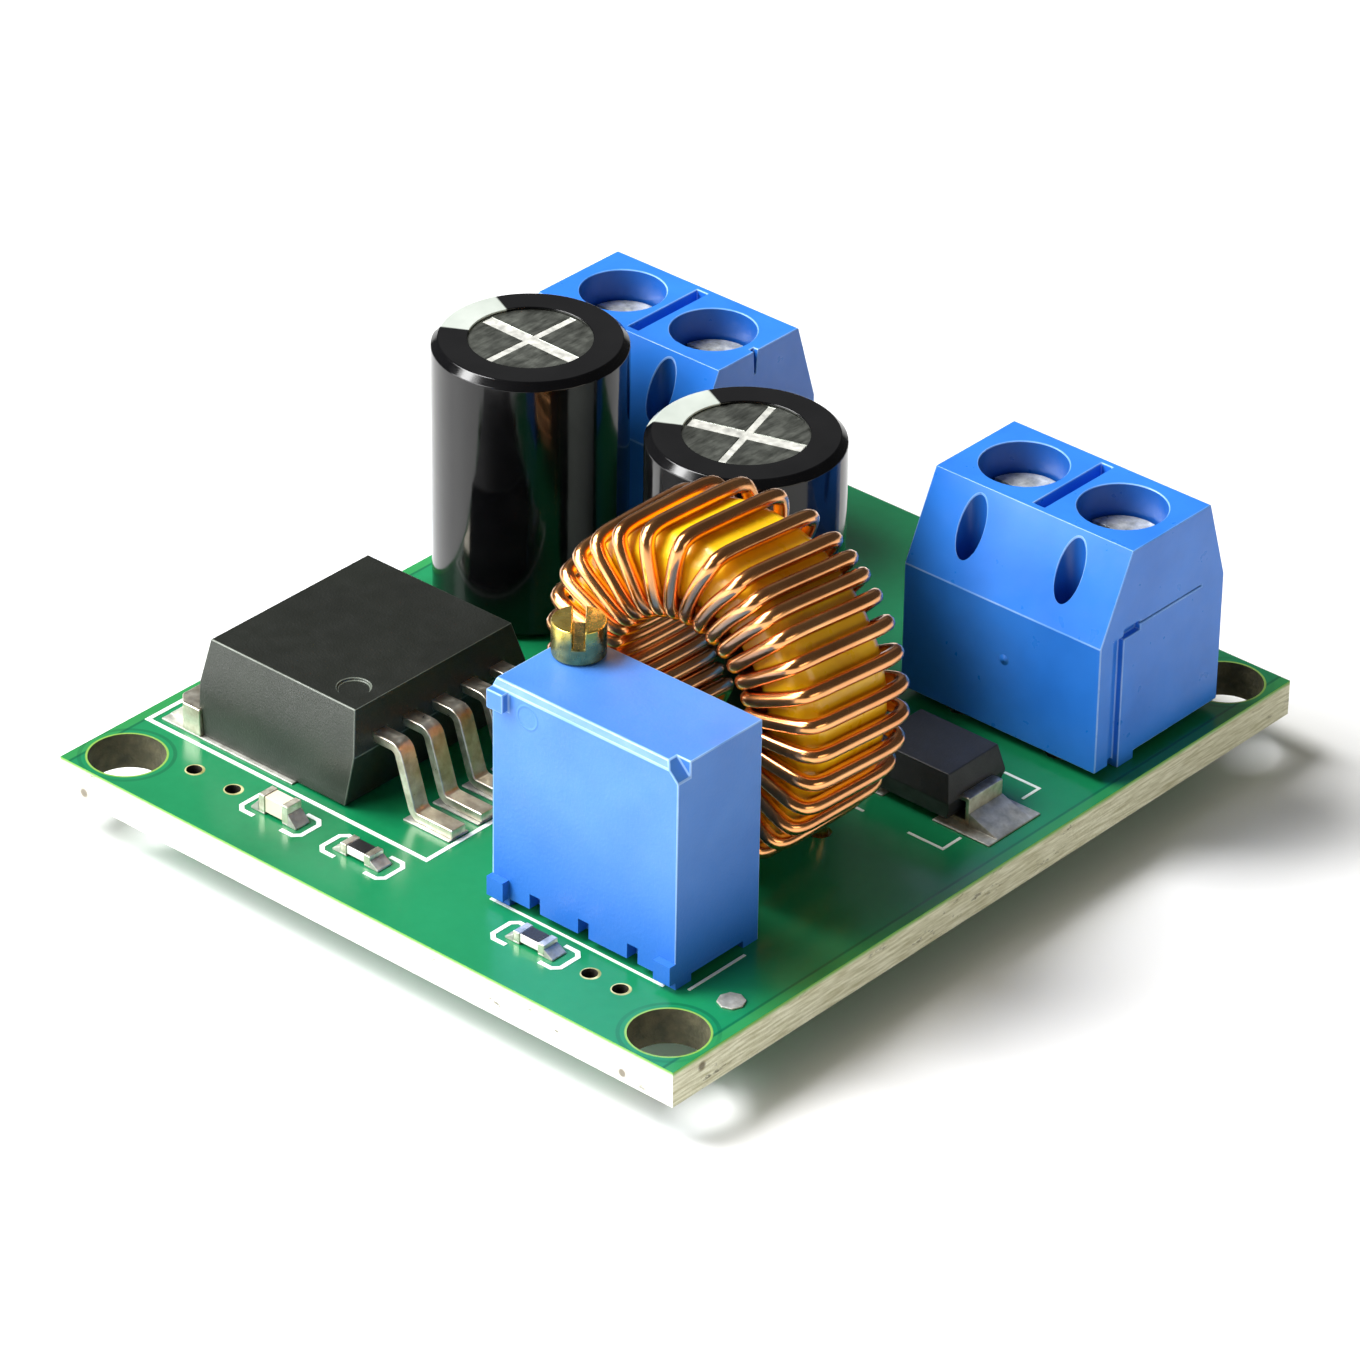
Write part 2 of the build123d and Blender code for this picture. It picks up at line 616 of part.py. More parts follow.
def regulator_body(metal):
    """The black body with drafted faces, moulded round the tab and the leads."""
    top = SEAT + REGULATOR_HEIGHT
    levels = (SEAT, SEAT + REGULATOR_PARTING, top)
    tab_end_top = REGULATOR_TAB_END_LEAN * (REGULATOR_HEIGHT - REGULATOR_PARTING) / REGULATOR_PARTING
    base_cuts = (
        (-REGULATOR_TAB_END_LEAN, REGULATOR_BASE_DRAFT_X),
        (REGULATOR_BASE_DRAFT_Y, REGULATOR_BASE_DRAFT_Y),
    )
    top_cuts = (
        (tab_end_top, REGULATOR_TOP_DRAFT_X),
        (REGULATOR_TOP_DRAFT_Y, REGULATOR_TOP_DRAFT_Y),
    )
    body = Pos(REGULATOR_X, REGULATOR_Y, 0) * moulded_body(
        REGULATOR_LENGTH, REGULATOR_WIDTH, levels, base_cuts, top_cuts)
    mark_x = REGULATOR_LEAD_END_X - REGULATOR_TOP_DRAFT_X - PIN_MARK_INSET
    mark_y = REGULATOR_Y - REGULATOR_WIDTH / 2 + REGULATOR_TOP_DRAFT_Y + PIN_MARK_INSET
    body -= rod(mark_x, mark_y, top - PIN_MARK_DEPTH, top, PIN_MARK_DIA)
    for piece in metal:
        body -= piece
    return body


def add_regulator():
    """The regulator: body, tab with the centre lead, and four leads."""
    tab = regulator_tab()
    centre = REGULATOR_LEADS // 2
    leads = []
    for number, y in enumerate(regulator_lead_places()):
        if number != centre:
            leads.append(Pos(0, y, 0) * regulator_lead())
    PIECES["regulator_body"] = [regulator_body([tab] + leads)]
    PIECES["regulator_tab"] = [tab]
    PIECES["regulator_leads"] = leads


def inductor_core():
    """The powder core: a ring about an axis along Y, with cut edges."""
    outer = CORE_OUTER_DIA / 2
    inner = CORE_INNER_DIA / 2
    half = CORE_WIDTH / 2
    outline = Polyline(
        (inner, -half + CORE_EDGE),
        (inner + CORE_EDGE, -half),
        (outer - CORE_EDGE, -half),
        (outer, -half + CORE_EDGE),
        (outer, half - CORE_EDGE),
        (outer - CORE_EDGE, half),
        (inner + CORE_EDGE, half),
        (inner, half - CORE_EDGE),
        close=True,
    )
    return Pos(CORE_X, CORE_Y, CORE_Z) * revolve(make_face(outline), Axis.Y)


def rim_angle(turn):
    """Where a turn crosses the core's rim; the turns are bunched at the upper right."""
    bunch = math.exp(-((turn - BUNCH_TURN) / BUNCH_SPREAD) ** 2)
    return FIRST_RIM_ANGLE + TURN_PITCH * turn - BUNCH_SHIFT * bunch


def on_core(radius, y, angle):
    """A point at a radius and angle about the core's axis."""
    turn = math.radians(angle)
    return (CORE_X + radius * math.cos(turn), CORE_Y + y, CORE_Z + radius * math.sin(turn))


def winding_route():
    """The middle line of the wire, from one board hole round the core to the other."""
    stand = WIRE_DIA / 2 + WIRE_GAP
    ease = stand * math.tan(math.radians(WIRE_CORNER_TURN / 2))
    rim = CORE_OUTER_DIA / 2 + stand
    bore = CORE_INNER_DIA / 2 - stand
    face_outer = CORE_OUTER_DIA / 2 - CORE_EDGE + ease
    face_inner = CORE_INNER_DIA / 2 + CORE_EDGE - ease
    side = CORE_WIDTH / 2 - CORE_EDGE + ease
    face = CORE_WIDTH / 2 + stand
    first = on_core(rim, face, rim_angle(0))
    route = [(first[0], first[1], 0), (first[0], first[1], first[2] - face + side)]
    for turn in range(TURNS):
        back_rim = rim_angle(turn)
        front_rim = back_rim + RIM_LEAN
        front_bore = FIRST_BORE_ANGLE + TURN_PITCH * turn
        back_bore = front_bore + BORE_LEAN
        route.append(on_core(rim, side, back_rim))
        route.append(on_core(rim, -side, front_rim))
        route.append(on_core(face_outer, -face, front_rim))
        route.append(on_core(face_inner, -face, front_bore))
        route.append(on_core(bore, -side, front_bore))
        route.append(on_core(bore, side, back_bore))
        route.append(on_core(face_inner, face, back_bore))
        route.append(on_core(face_outer, face, rim_angle(turn + 1)))
    last = route[-1]
    route.append((last[0], last[1], 0))
    return route


def inductor_winding():
    """The copper wire, mitred at each corner of its route."""
    line = Polyline(*winding_route())
    section = Plane(origin=line @ 0, z_dir=line % 0) * RegularPolygon(WIRE_DIA / 2, WIRE_SIDES)
    return sweep(section, path=line, transition=Transition.RIGHT)


def winding_ends():
    """The places of the two board holes for the winding."""
    route = winding_route()
    return [route[0][:2], route[-1][:2]]


def add_inductor():
    """The inductor: core and winding."""
    PIECES["inductor_core"] = [inductor_core()]
    PIECES["inductor_winding"] = [inductor_winding()]


# Heights on the capacitors
CAN_BASE = BOARD_TOP + CAN_STAND_OFF
CAN_TOP = CAN_BASE + CAN_HEIGHT


def capacitor_can(x, y, direction):
    """The sealed aluminium can, with a wide and a narrow score crossed on its top."""
    radius = CAN_DIA / 2
    can = turned(x, y, (
        (0, CAN_BASE),
        (radius, CAN_BASE),
        (radius, CAN_TOP - CAN_EDGE),
        (radius - CAN_EDGE, CAN_TOP),
        (0, CAN_TOP),
    ))
    wide = Box(SCORE_LENGTH, SCORE_WIDTH, 2 * SCORE_DEPTH)
    narrow = Box(SCORE_CROSS_WIDTH, SCORE_LENGTH, 2 * SCORE_DEPTH)
    return can - Pos(x, y, CAN_TOP) * Rot(0, 0, direction) * (wide + narrow)


def capacitor_sleeve(x, y):
    """The shrink sleeve: a thin tube folded in over the can's top."""
    inner = CAN_DIA / 2 + SLEEVE_GAP
    outer = inner + SLEEVE_THICK
    top_in = CAN_TOP + SLEEVE_GAP
    top_out = top_in + SLEEVE_THICK
    return turned(x, y, (
        (inner, CAN_BASE),
        (outer, CAN_BASE),
        (outer, top_out - SLEEVE_EDGE),
        (outer - SLEEVE_EDGE, top_out),
        (SLEEVE_OPENING / 2, top_out),
        (SLEEVE_OPENING / 2, top_in),
        (inner - SLEEVE_EDGE, top_in),
        (inner, top_in - SLEEVE_EDGE),
    ))


def capacitor_leads(x, y):
    """The two leads under the can."""
    half = CAPACITOR_LEAD_PITCH / 2
    return [straight_wire(x + side, y, 0, CAN_BASE, CAPACITOR_LEAD_DIA) for side in (-half, half)]


def add_capacitors():
    """Both capacitors: can, sleeve and leads."""
    for name, x, y, direction in CAPACITOR_PLACES:
        PIECES[name + "_capacitor_can"] = [capacitor_can(x, y, direction)]
        PIECES[name + "_capacitor_sleeve"] = [capacitor_sleeve(x, y)]
        PIECES[name + "_capacitor_leads"] = capacitor_leads(x, y)


def diode_terminal():
    """The right-hand terminal about the diode's centre: out of the body, down and under."""
    body_end = DIODE_LENGTH / 2
    half = DIODE_STRIP_THICK / 2
    outer = body_end + DIODE_STRIP_REACH - half
    high = SEAT + DIODE_PARTING
    low = SEAT + half
    route = (
        (body_end - DIODE_STRIP_HELD, high),
        (outer, high),
        (outer, low),
        (outer - DIODE_STRIP_RETURN, low),
    )
    return strip(route, DIODE_STRIP_WIDTH, DIODE_STRIP_THICK)


def add_diode():
    """The diode: a body of two drafted halves and two folded terminals."""
    place = Pos(DIODE_X, DIODE_Y, 0)
    right = diode_terminal()
    left = Rot(0, 0, HALF_TURN) * right
    levels = (SEAT + DIODE_FLOOR, SEAT + DIODE_PARTING, SEAT + DIODE_HEIGHT)
    draft_pair = (DIODE_DRAFT, DIODE_DRAFT)
    cuts = (draft_pair, draft_pair)
    body = moulded_body(DIODE_LENGTH, DIODE_WIDTH, levels, cuts, cuts) - right - left
    PIECES["diode_body"] = [place * body]
    PIECES["diode_terminals"] = [place * left, place * right]


def add_chips():
    """The chip capacitor and the two chip resistors: ceramic bodies with plated ends."""
    for name, x, height in CHIPS:
        place = Pos(x, CHIP_Y, SEAT)
        half = CHIP_LENGTH / 2
        side = CHIP_WIDTH / 2
        skin = CHIP_PLATING
        body = block(-half + skin, half - skin, -side + skin, side - skin, skin, height - skin)
        right = block(half - CHIP_CAP_LENGTH, half, -side, side, 0, height) - body
        left = block(-half, -half + CHIP_CAP_LENGTH, -side, side, 0, height) - body
        PIECES[name + "_body"] = [place * body]
        PIECES[name + "_ends"] = [place * left, place * right]


def land(x0, x1, y0, y1):
    """A flat tinned land on the board's top face."""
    return block(x0, x1, y0, y1, BOARD_TOP, SEAT)


def regulator_lands():
    """The lands of the regulator's tab and leads, with a fillet at each toe."""
    lands = []
    toe = REGULATOR_LEAD_END_X + LEAD_REACH
    half = LEAD_LAND_WIDTH / 2
    for y in regulator_lead_places():
        lands.append(land(toe - LEAD_LAND_LENGTH, toe, y - half, y + half))
    tab_end = REGULATOR_TAB_END_X - TAB_REACH
    side = TAB_WIDTH / 2
    inner_x = REGULATOR_TAB_END_X + TAB_INSIDE
    tab_land = land(tab_end - TAB_LAND_MARGIN, inner_x, REGULATOR_Y - side, REGULATOR_Y + side)
    fillet_width = TAB_WIDTH - 2 * TAB_CORNER
    tab_land += ramp(tab_end, REGULATOR_Y, TAB_LAND_MARGIN, fillet_width, TAB_THICK / 2, HALF_TURN)
    lands.append(tab_land)
    return lands


def diode_lands():
    """The two lands of the diode with the long fillets outside its terminals."""
    lands = []
    face = DIODE_LENGTH / 2 + DIODE_STRIP_REACH
    half = DIODE_LAND_WIDTH / 2
    inner = DIODE_LAND_OUTER - DIODE_LAND_LENGTH
    run = DIODE_LAND_OUTER - face
    right = land(inner, DIODE_LAND_OUTER, -half, half)
    right += ramp(face, 0, run, DIODE_STRIP_WIDTH, DIODE_PARTING / 2, 0)
    place = Pos(DIODE_X, DIODE_Y, 0)
    lands.append(place * right)
    lands.append(place * Rot(0, 0, HALF_TURN) * right)
    return lands


def chip_lands():
    """Two lands with fillets for each chip part."""
    lands = []
    half = CHIP_WIDTH / 2
    end = CHIP_LENGTH / 2
    outer = end + CHIP_LAND_REACH
    for _, x, height in CHIPS:
        right = land(end - CHIP_CAP_LENGTH, outer, -half, half)
        right += ramp(end, 0, CHIP_LAND_REACH, CHIP_WIDTH, height * CHIP_FILLET_SHARE, 0)
        place = Pos(x, CHIP_Y, 0)
        lands.append(place * right)
        lands.append(place * Rot(0, 0, HALF_TURN) * right)
    return lands


def add_solder(lead_places):
    """The tinned lands on top and the soldered joints under the board."""
    test_pad = clear_hole(*TEST_PAD_PLACE, BOARD_TOP, SEAT, TEST_PAD_DIA)
    PIECES["solder_pads"] = regulator_lands() + diode_lands() + chip_lands() + [test_pad]
    joints = []
    for x, y, dia, lead in lead_places:
        plug = straight_wire(x, y, TAIL_LENGTH - JOINT_HEIGHT, TAIL_LENGTH, dia + 2 * JOINT_RING)
        sides = plug.faces().filter_by(Axis.Z, reverse=True)
        joints.append(draft(sides, Plane.XY.offset(TAIL_LENGTH), JOINT_TAPER) - lead)
    PIECES["underside_solder"] = joints


def through_leads():
    """Each lead that passes the board: its place, its width across and its solid."""
    places = []
    pin_across = math.hypot(TERMINAL_PIN_WIDTH, TERMINAL_PIN_THICK)
    for name, centre_x in terminal_centres().items():
        for x, pin in zip(pole_centres(centre_x), PIECES[name + "_terminal_contacts"]):
            places.append((x, LEG_Y, pin_across, pin))
    for x, pin in zip(trimmer_pin_places(), PIECES["trimmer_pins"]):
        places.append((x, TRIMMER_Y, TRIMMER_PIN_DIA, pin))
    half = CAPACITOR_LEAD_PITCH / 2
    for name, x, y, _ in CAPACITOR_PLACES:
        for lead_x, lead in zip((x - half, x + half), PIECES[name + "_capacitor_leads"]):
            places.append((lead_x, y, CAPACITOR_LEAD_DIA, lead))
    for x, y in winding_ends():
        places.append((x, y, WIRE_DIA, PIECES["inductor_winding"][0]))
    return places


def add_board(lead_places):
    """The board with its mounting holes, vias and lead holes."""
    board = block(-BOARD_WIDTH / 2, BOARD_WIDTH / 2, -BOARD_DEPTH / 2, BOARD_DEPTH / 2,
                  TAIL_LENGTH, BOARD_TOP)
    hole_x = BOARD_WIDTH / 2 - MOUNT_HOLE_INSET
    hole_y = BOARD_DEPTH / 2 - MOUNT_HOLE_INSET
    for x in (-hole_x, hole_x):
        for y in (-hole_y, hole_y):
            board -= rod(x, y, TAIL_LENGTH, BOARD_TOP, MOUNT_HOLE_DIA)
    for x, y in VIA_PLACES:
        board -= clear_hole(x, y, TAIL_LENGTH, BOARD_TOP, VIA_DIA)
    for x, y, dia, _ in lead_places:
        board -= clear_hole(x, y, TAIL_LENGTH, BOARD_TOP, dia + 2 * LEAD_HOLE_PLAY)
    PIECES["circuit_board"] = [board]


def write_pieces():
    """One file for each named piece; a piece in several solids is written as a group."""
    os.makedirs("parts", exist_ok=True)
    for name, shapes in PIECES.items():
        solids = [solid for shape in shapes for solid in shape.solids()]
        shape = solids[0] if len(solids) == 1 else Compound(children=solids)
        export_step(shape, f"parts/{name}.step")


add_terminals()
add_trimmer()
add_regulator()
add_inductor()
add_capacitors()
add_diode()
add_chips()
LEADS = through_leads()
add_solder(LEADS)
add_board(LEADS)
write_pieces()
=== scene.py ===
import json
import math

import bmesh
import bpy
from mathutils import Matrix, Vector

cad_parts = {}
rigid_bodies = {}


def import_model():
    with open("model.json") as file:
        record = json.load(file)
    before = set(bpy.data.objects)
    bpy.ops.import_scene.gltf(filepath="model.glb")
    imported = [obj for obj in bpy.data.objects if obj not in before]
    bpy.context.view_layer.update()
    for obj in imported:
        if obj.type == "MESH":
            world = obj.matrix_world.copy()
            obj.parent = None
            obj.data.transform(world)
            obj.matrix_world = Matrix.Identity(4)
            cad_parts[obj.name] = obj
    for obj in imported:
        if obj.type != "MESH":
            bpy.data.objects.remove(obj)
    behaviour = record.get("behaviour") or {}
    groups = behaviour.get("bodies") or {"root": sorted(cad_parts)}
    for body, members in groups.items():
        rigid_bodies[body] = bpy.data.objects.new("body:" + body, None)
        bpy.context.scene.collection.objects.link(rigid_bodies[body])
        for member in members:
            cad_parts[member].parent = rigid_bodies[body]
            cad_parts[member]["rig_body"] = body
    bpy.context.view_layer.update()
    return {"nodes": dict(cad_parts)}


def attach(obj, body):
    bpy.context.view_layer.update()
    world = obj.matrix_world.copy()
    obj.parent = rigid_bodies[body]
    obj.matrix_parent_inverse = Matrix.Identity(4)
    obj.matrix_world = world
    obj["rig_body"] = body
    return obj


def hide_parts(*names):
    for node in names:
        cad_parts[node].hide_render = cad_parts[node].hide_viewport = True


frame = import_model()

MM = 0.001
BOARD_TOP = 3.2
NODES = frame["nodes"]

# Places on the board, in millimetres
MOUNTS = [(x, y) for x in (-14.6, 14.6) for y in (-17.25, 17.25)]
VIAS = ((-11.83, -16.2), (-9.65, -16.2), (9.70, -16.3), (11.28, -16.3))
POLES = {"input": (-13.96, -8.88), "output": (7.845, 12.925)}
ALL_POLES = (*POLES["input"], *POLES["output"])
WELL_Y = 11.84
PROBE_Y = 8.57
# The name and place of each can, and the heading of its cross in degrees
CANS = (("input", -11.40, 3.28, -1.5), ("output", 0.35, 3.28, 17.0))
CAN_TOP = 15.2


# Geometry helpers. Sizes given to them are in millimetres.

def linked(name, mesh, body="board", look=None):
    """Adds a mesh as a piece that rides on a body."""
    piece = bpy.data.objects.new(name, mesh)
    bpy.context.scene.collection.objects.link(piece)
    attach(piece, body)
    if look:
        piece.data.materials.clear()
        piece.data.materials.append(look)
    return piece


def mesh_of(name, points, faces):
    """A mesh from points in millimetres."""
    mesh = bpy.data.meshes.new(name)
    mesh.from_pydata([tuple(c * MM for c in p) for p in points], [], faces)
    mesh.validate()
    return mesh


def applied(piece):
    """Bakes a piece's modifiers into its mesh."""
    graph = bpy.context.evaluated_depsgraph_get()
    mesh = bpy.data.meshes.new_from_object(
        piece.evaluated_get(graph), preserve_all_data_layers=True, depsgraph=graph)
    piece.modifiers.clear()
    old = piece.data
    piece.data = mesh
    bpy.data.meshes.remove(old)
    return piece


def softened(node, look, width=0.06, segments=2, angle=25, holes=(), rim=None, cuts=(), clamp=True,
             above=None):
    """Stands in for a CAD node: the same form, its edges rounded and its few-sided holes round.

    Each hole is given by x, y, radius, base and top in millimetres. The rim look, a painted
    highlight, goes on the rounded edges, and each cut is a list of points whose hull is taken
    away. Edges that lie wholly below the height called above stay sharp.
    """
    source = NODES[node]
    form = bmesh.new()
    form.from_mesh(source.data)
    bmesh.ops.remove_doubles(form, verts=form.verts, dist=1e-7)
    bmesh.ops.dissolve_limit(form, angle_limit=math.radians(1), verts=form.verts, edges=form.edges)
    for face in form.faces:
        face.smooth = True
    if above is not None:
        weight = form.edges.layers.float.new("bevel_weight_edge")
        for edge in form.edges:
            high = max(v.co.z for v in edge.verts) > above * MM
            turned = edge.calc_face_angle(0.0) > math.radians(angle)
            edge[weight] = float(high and turned)
            edge.smooth = high or not turned
    mesh = bpy.data.meshes.new(node + "_soft")
    form.to_mesh(mesh)
    form.free()
    for layer in list(mesh.attributes):
        if layer.name == "custom_normal":
            mesh.attributes.remove(layer)
    piece = linked(node + "_soft", mesh, source["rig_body"], look)
    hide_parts(node)
    for x, y, radius, low, high in holes:
        bored(piece, x, y, radius, low, high)
    for corners in cuts:
        notched(piece, corners)
    bevel = piece.modifiers.new("edges", "BEVEL")
    bevel.width = width * MM
    bevel.segments = segments
    bevel.limit_method = "ANGLE" if above is None else "WEIGHT"
    bevel.angle_limit = math.radians(angle)
    bevel.harden_normals = True
    bevel.use_clamp_overlap = clamp
    # The rim look is a painted highlight on the bevel faces.
    if rim:
        piece.data.materials.append(rim)
        bevel.material = 1
    return applied(piece)


def bored(piece, x, y, radius, low, high):
    """Cuts a round upright hole into a piece."""
    form = bmesh.new()
    place = Matrix.Translation(Vector((x, y, (low + high) / 2)) * MM)
    bmesh.ops.create_cone(form, cap_ends=True, segments=40, radius1=radius * MM, radius2=radius * MM,
                          depth=(high - low) * MM, matrix=place)
    subtracted(piece, form)


def notched(piece, corners):
    """Cuts the hull of some points out of a piece."""
    form = bmesh.new()
    for corner in corners:
        form.verts.new([c * MM for c in corner])
    bmesh.ops.convex_hull(form, input=form.verts)
    subtracted(piece, form)


def subtracted(piece, form):
    """Takes a closed form away from a piece."""
    mesh = bpy.data.meshes.new("bore")
    form.to_mesh(mesh)
    form.free()
    tool = bpy.data.objects.new("bore", mesh)
    bpy.context.scene.collection.objects.link(tool)
    cut = piece.modifiers.new("bore", "BOOLEAN")
    cut.operation = "DIFFERENCE"
    cut.solver = "EXACT"
    cut.object = tool
    applied(piece)
    bpy.data.objects.remove(tool)
    for polygon in piece.data.polygons:
        polygon.use_smooth = True


# Material helpers

class Look:
    """A node material on Blender's standard surface shader."""

    def __init__(self, name, rough=0.5, metal=0.0, **inputs):
        self.made = bpy.data.materials.new(name)
        self.made.use_nodes = True
        self.tree = self.made.node_tree
        self.shader = next(n for n in self.tree.nodes if n.type == "BSDF_PRINCIPLED")
        self.shader.inputs["Roughness"].default_value = rough
        self.shader.inputs["Metallic"].default_value = metal
        for key, value in inputs.items():
            self.shader.inputs[key.replace("_", " ")].default_value = value
        self.place = self.new("ShaderNodeTexCoord").outputs["Object"]
        self.normal = self.new("ShaderNodeNewGeometry").outputs["Normal"]

    def new(self, kind, **settings):
        made = self.tree.nodes.new(kind)
        for key, value in settings.items():
            setattr(made, key, value)
        return made

    def put(self, target, value):
        if hasattr(value, "is_linked"):
            self.tree.links.new(value, target)
        else:
            target.default_value = value

    def math(self, operation, a, b=0.0):
        made = self.new("ShaderNodeMath", operation=operation)
        self.put(made.inputs[0], a)
        self.put(made.inputs[1], b)
        return made.outputs[0]

    def noise(self, size, detail=2.0, rough=0.5, stretch=(1, 1, 1), shift=0.0):
        """Noise whose features are about size millimetres across."""
        mapping = self.new("ShaderNodeMapping")
        self.put(mapping.inputs["Vector"], self.place)
        mapping.inputs["Scale"].default_value = [s / (size * MM) for s in stretch]
        mapping.inputs["Location"].default_value = (shift, shift, shift)
        made = self.new("ShaderNodeTexNoise")
        self.put(made.inputs["Vector"], mapping.outputs[0])
        made.inputs["Scale"].default_value = 1.0
        made.inputs["Detail"].default_value = detail
        made.inputs["Roughness"].default_value = rough
        return made.outputs["Fac"]

    def axis(self, socket, letter):
        made = self.new("ShaderNodeSeparateXYZ")
        self.put(made.inputs[0], socket)
        return made.outputs[letter]

    def span(self, value, low, high, out_low=0.0, out_high=1.0):
        """Maps low..high to out_low..out_high and clamps it."""
        made = self.new("ShaderNodeMapRange")
        self.put(made.inputs["Value"], value)
        for key, number in zip(("From Min", "From Max", "To Min", "To Max"), (low, high, out_low, out_high)):
            made.inputs[key].default_value = number
        return made.outputs["Result"]

    def near(self, x, y, radius, soft=0.02):
        """1 within radius of an upright axis at x, y and 0 outside."""
        flat = self.new("ShaderNodeVectorMath", operation="MULTIPLY")
        self.put(flat.inputs[0], self.place)
        flat.inputs[1].default_value = (1, 1, 0)
        gap = self.new("ShaderNodeVectorMath", operation="DISTANCE")
        self.put(gap.inputs[0], flat.outputs[0])
        gap.inputs[1].default_value = (x * MM, y * MM, 0)
        return self.span(gap.outputs["Value"], (radius - soft) * MM, (radius + soft) * MM, 1.0, 0.0)

    def away(self, x, y, z):
        """Distance to a place."""
        gap = self.new("ShaderNodeVectorMath", operation="DISTANCE")
        self.put(gap.inputs[0], self.place)
        gap.inputs[1].default_value = (x * MM, y * MM, z * MM)
        return gap.outputs["Value"]

    def mix(self, factor, a, b):
        made = self.new("ShaderNodeMix", data_type="RGBA")
        self.put(made.inputs[0], factor)
        self.put(made.inputs[6], self.rgba(a))
        self.put(made.inputs[7], self.rgba(b))
        return made.outputs[2]

    @staticmethod
    def rgba(value):
        if hasattr(value, "is_linked"):
            return value
        return (*value, 1.0)

    def tone(self):
        """The colour given so far."""
        return self.shader.inputs["Base Color"].links[0].from_socket

    def colour(self, value):
        self.put(self.shader.inputs["Base Color"], self.rgba(value))
        return self

    def roughness(self, value):
        self.put(self.shader.inputs["Roughness"], value)
        return self

    def bump(self, height, depth, strength=1.0):
        """Relief of a depth in millimetres; calls add up."""
        made = self.new("ShaderNodeBump")
        made.inputs["Strength"].default_value = strength
        made.inputs["Distance"].default_value = depth * MM
        self.put(made.inputs["Height"], height)
        target = self.shader.inputs["Normal"]
        if target.is_linked:
            self.tree.links.new(target.links[0].from_socket, made.inputs["Normal"])
        self.tree.links.new(made.outputs[0], target)
        return self


# Materials

def plastic(name, light, dark, rough, grain, depth, **inputs):
    """Moulded plastic: a slow drift between two tones and a fine skin."""
    look = Look(name, rough, **inputs)
    drift = look.span(look.noise(3.0, 3), 0.3, 0.7)
    look.colour(look.mix(drift, dark, light))
    look.roughness(look.span(look.noise(0.8, 3), 0.25, 0.75, rough - 0.06, rough + 0.08))
    look.bump(look.noise(grain, 2), depth)
    return look


def metal(name, light, dark, rough, patch=0.5, grain=0.12, depth=0.006, metallic=1.0):
    """Metal with soft patches of tone, a grain and a little relief."""
    look = Look(name, rough, metallic)
    patches = look.span(look.noise(patch, 4, 0.6), 0.32, 0.68)
    look.colour(look.mix(patches, dark, light))
    look.roughness(look.span(look.noise(patch * 0.6, 3, shift=3.7), 0.25, 0.75, rough - 0.1, rough + 0.14))
    look.bump(look.noise(grain, 3), depth)
    return look


# Small nicks in the board's edge: place and size
NICKS = ((13.94, -19.15, 2.0, 0.26), (-15.18, -19.15, 2.02, 0.3), (16.5, -17.49, 2.67, 0.26))


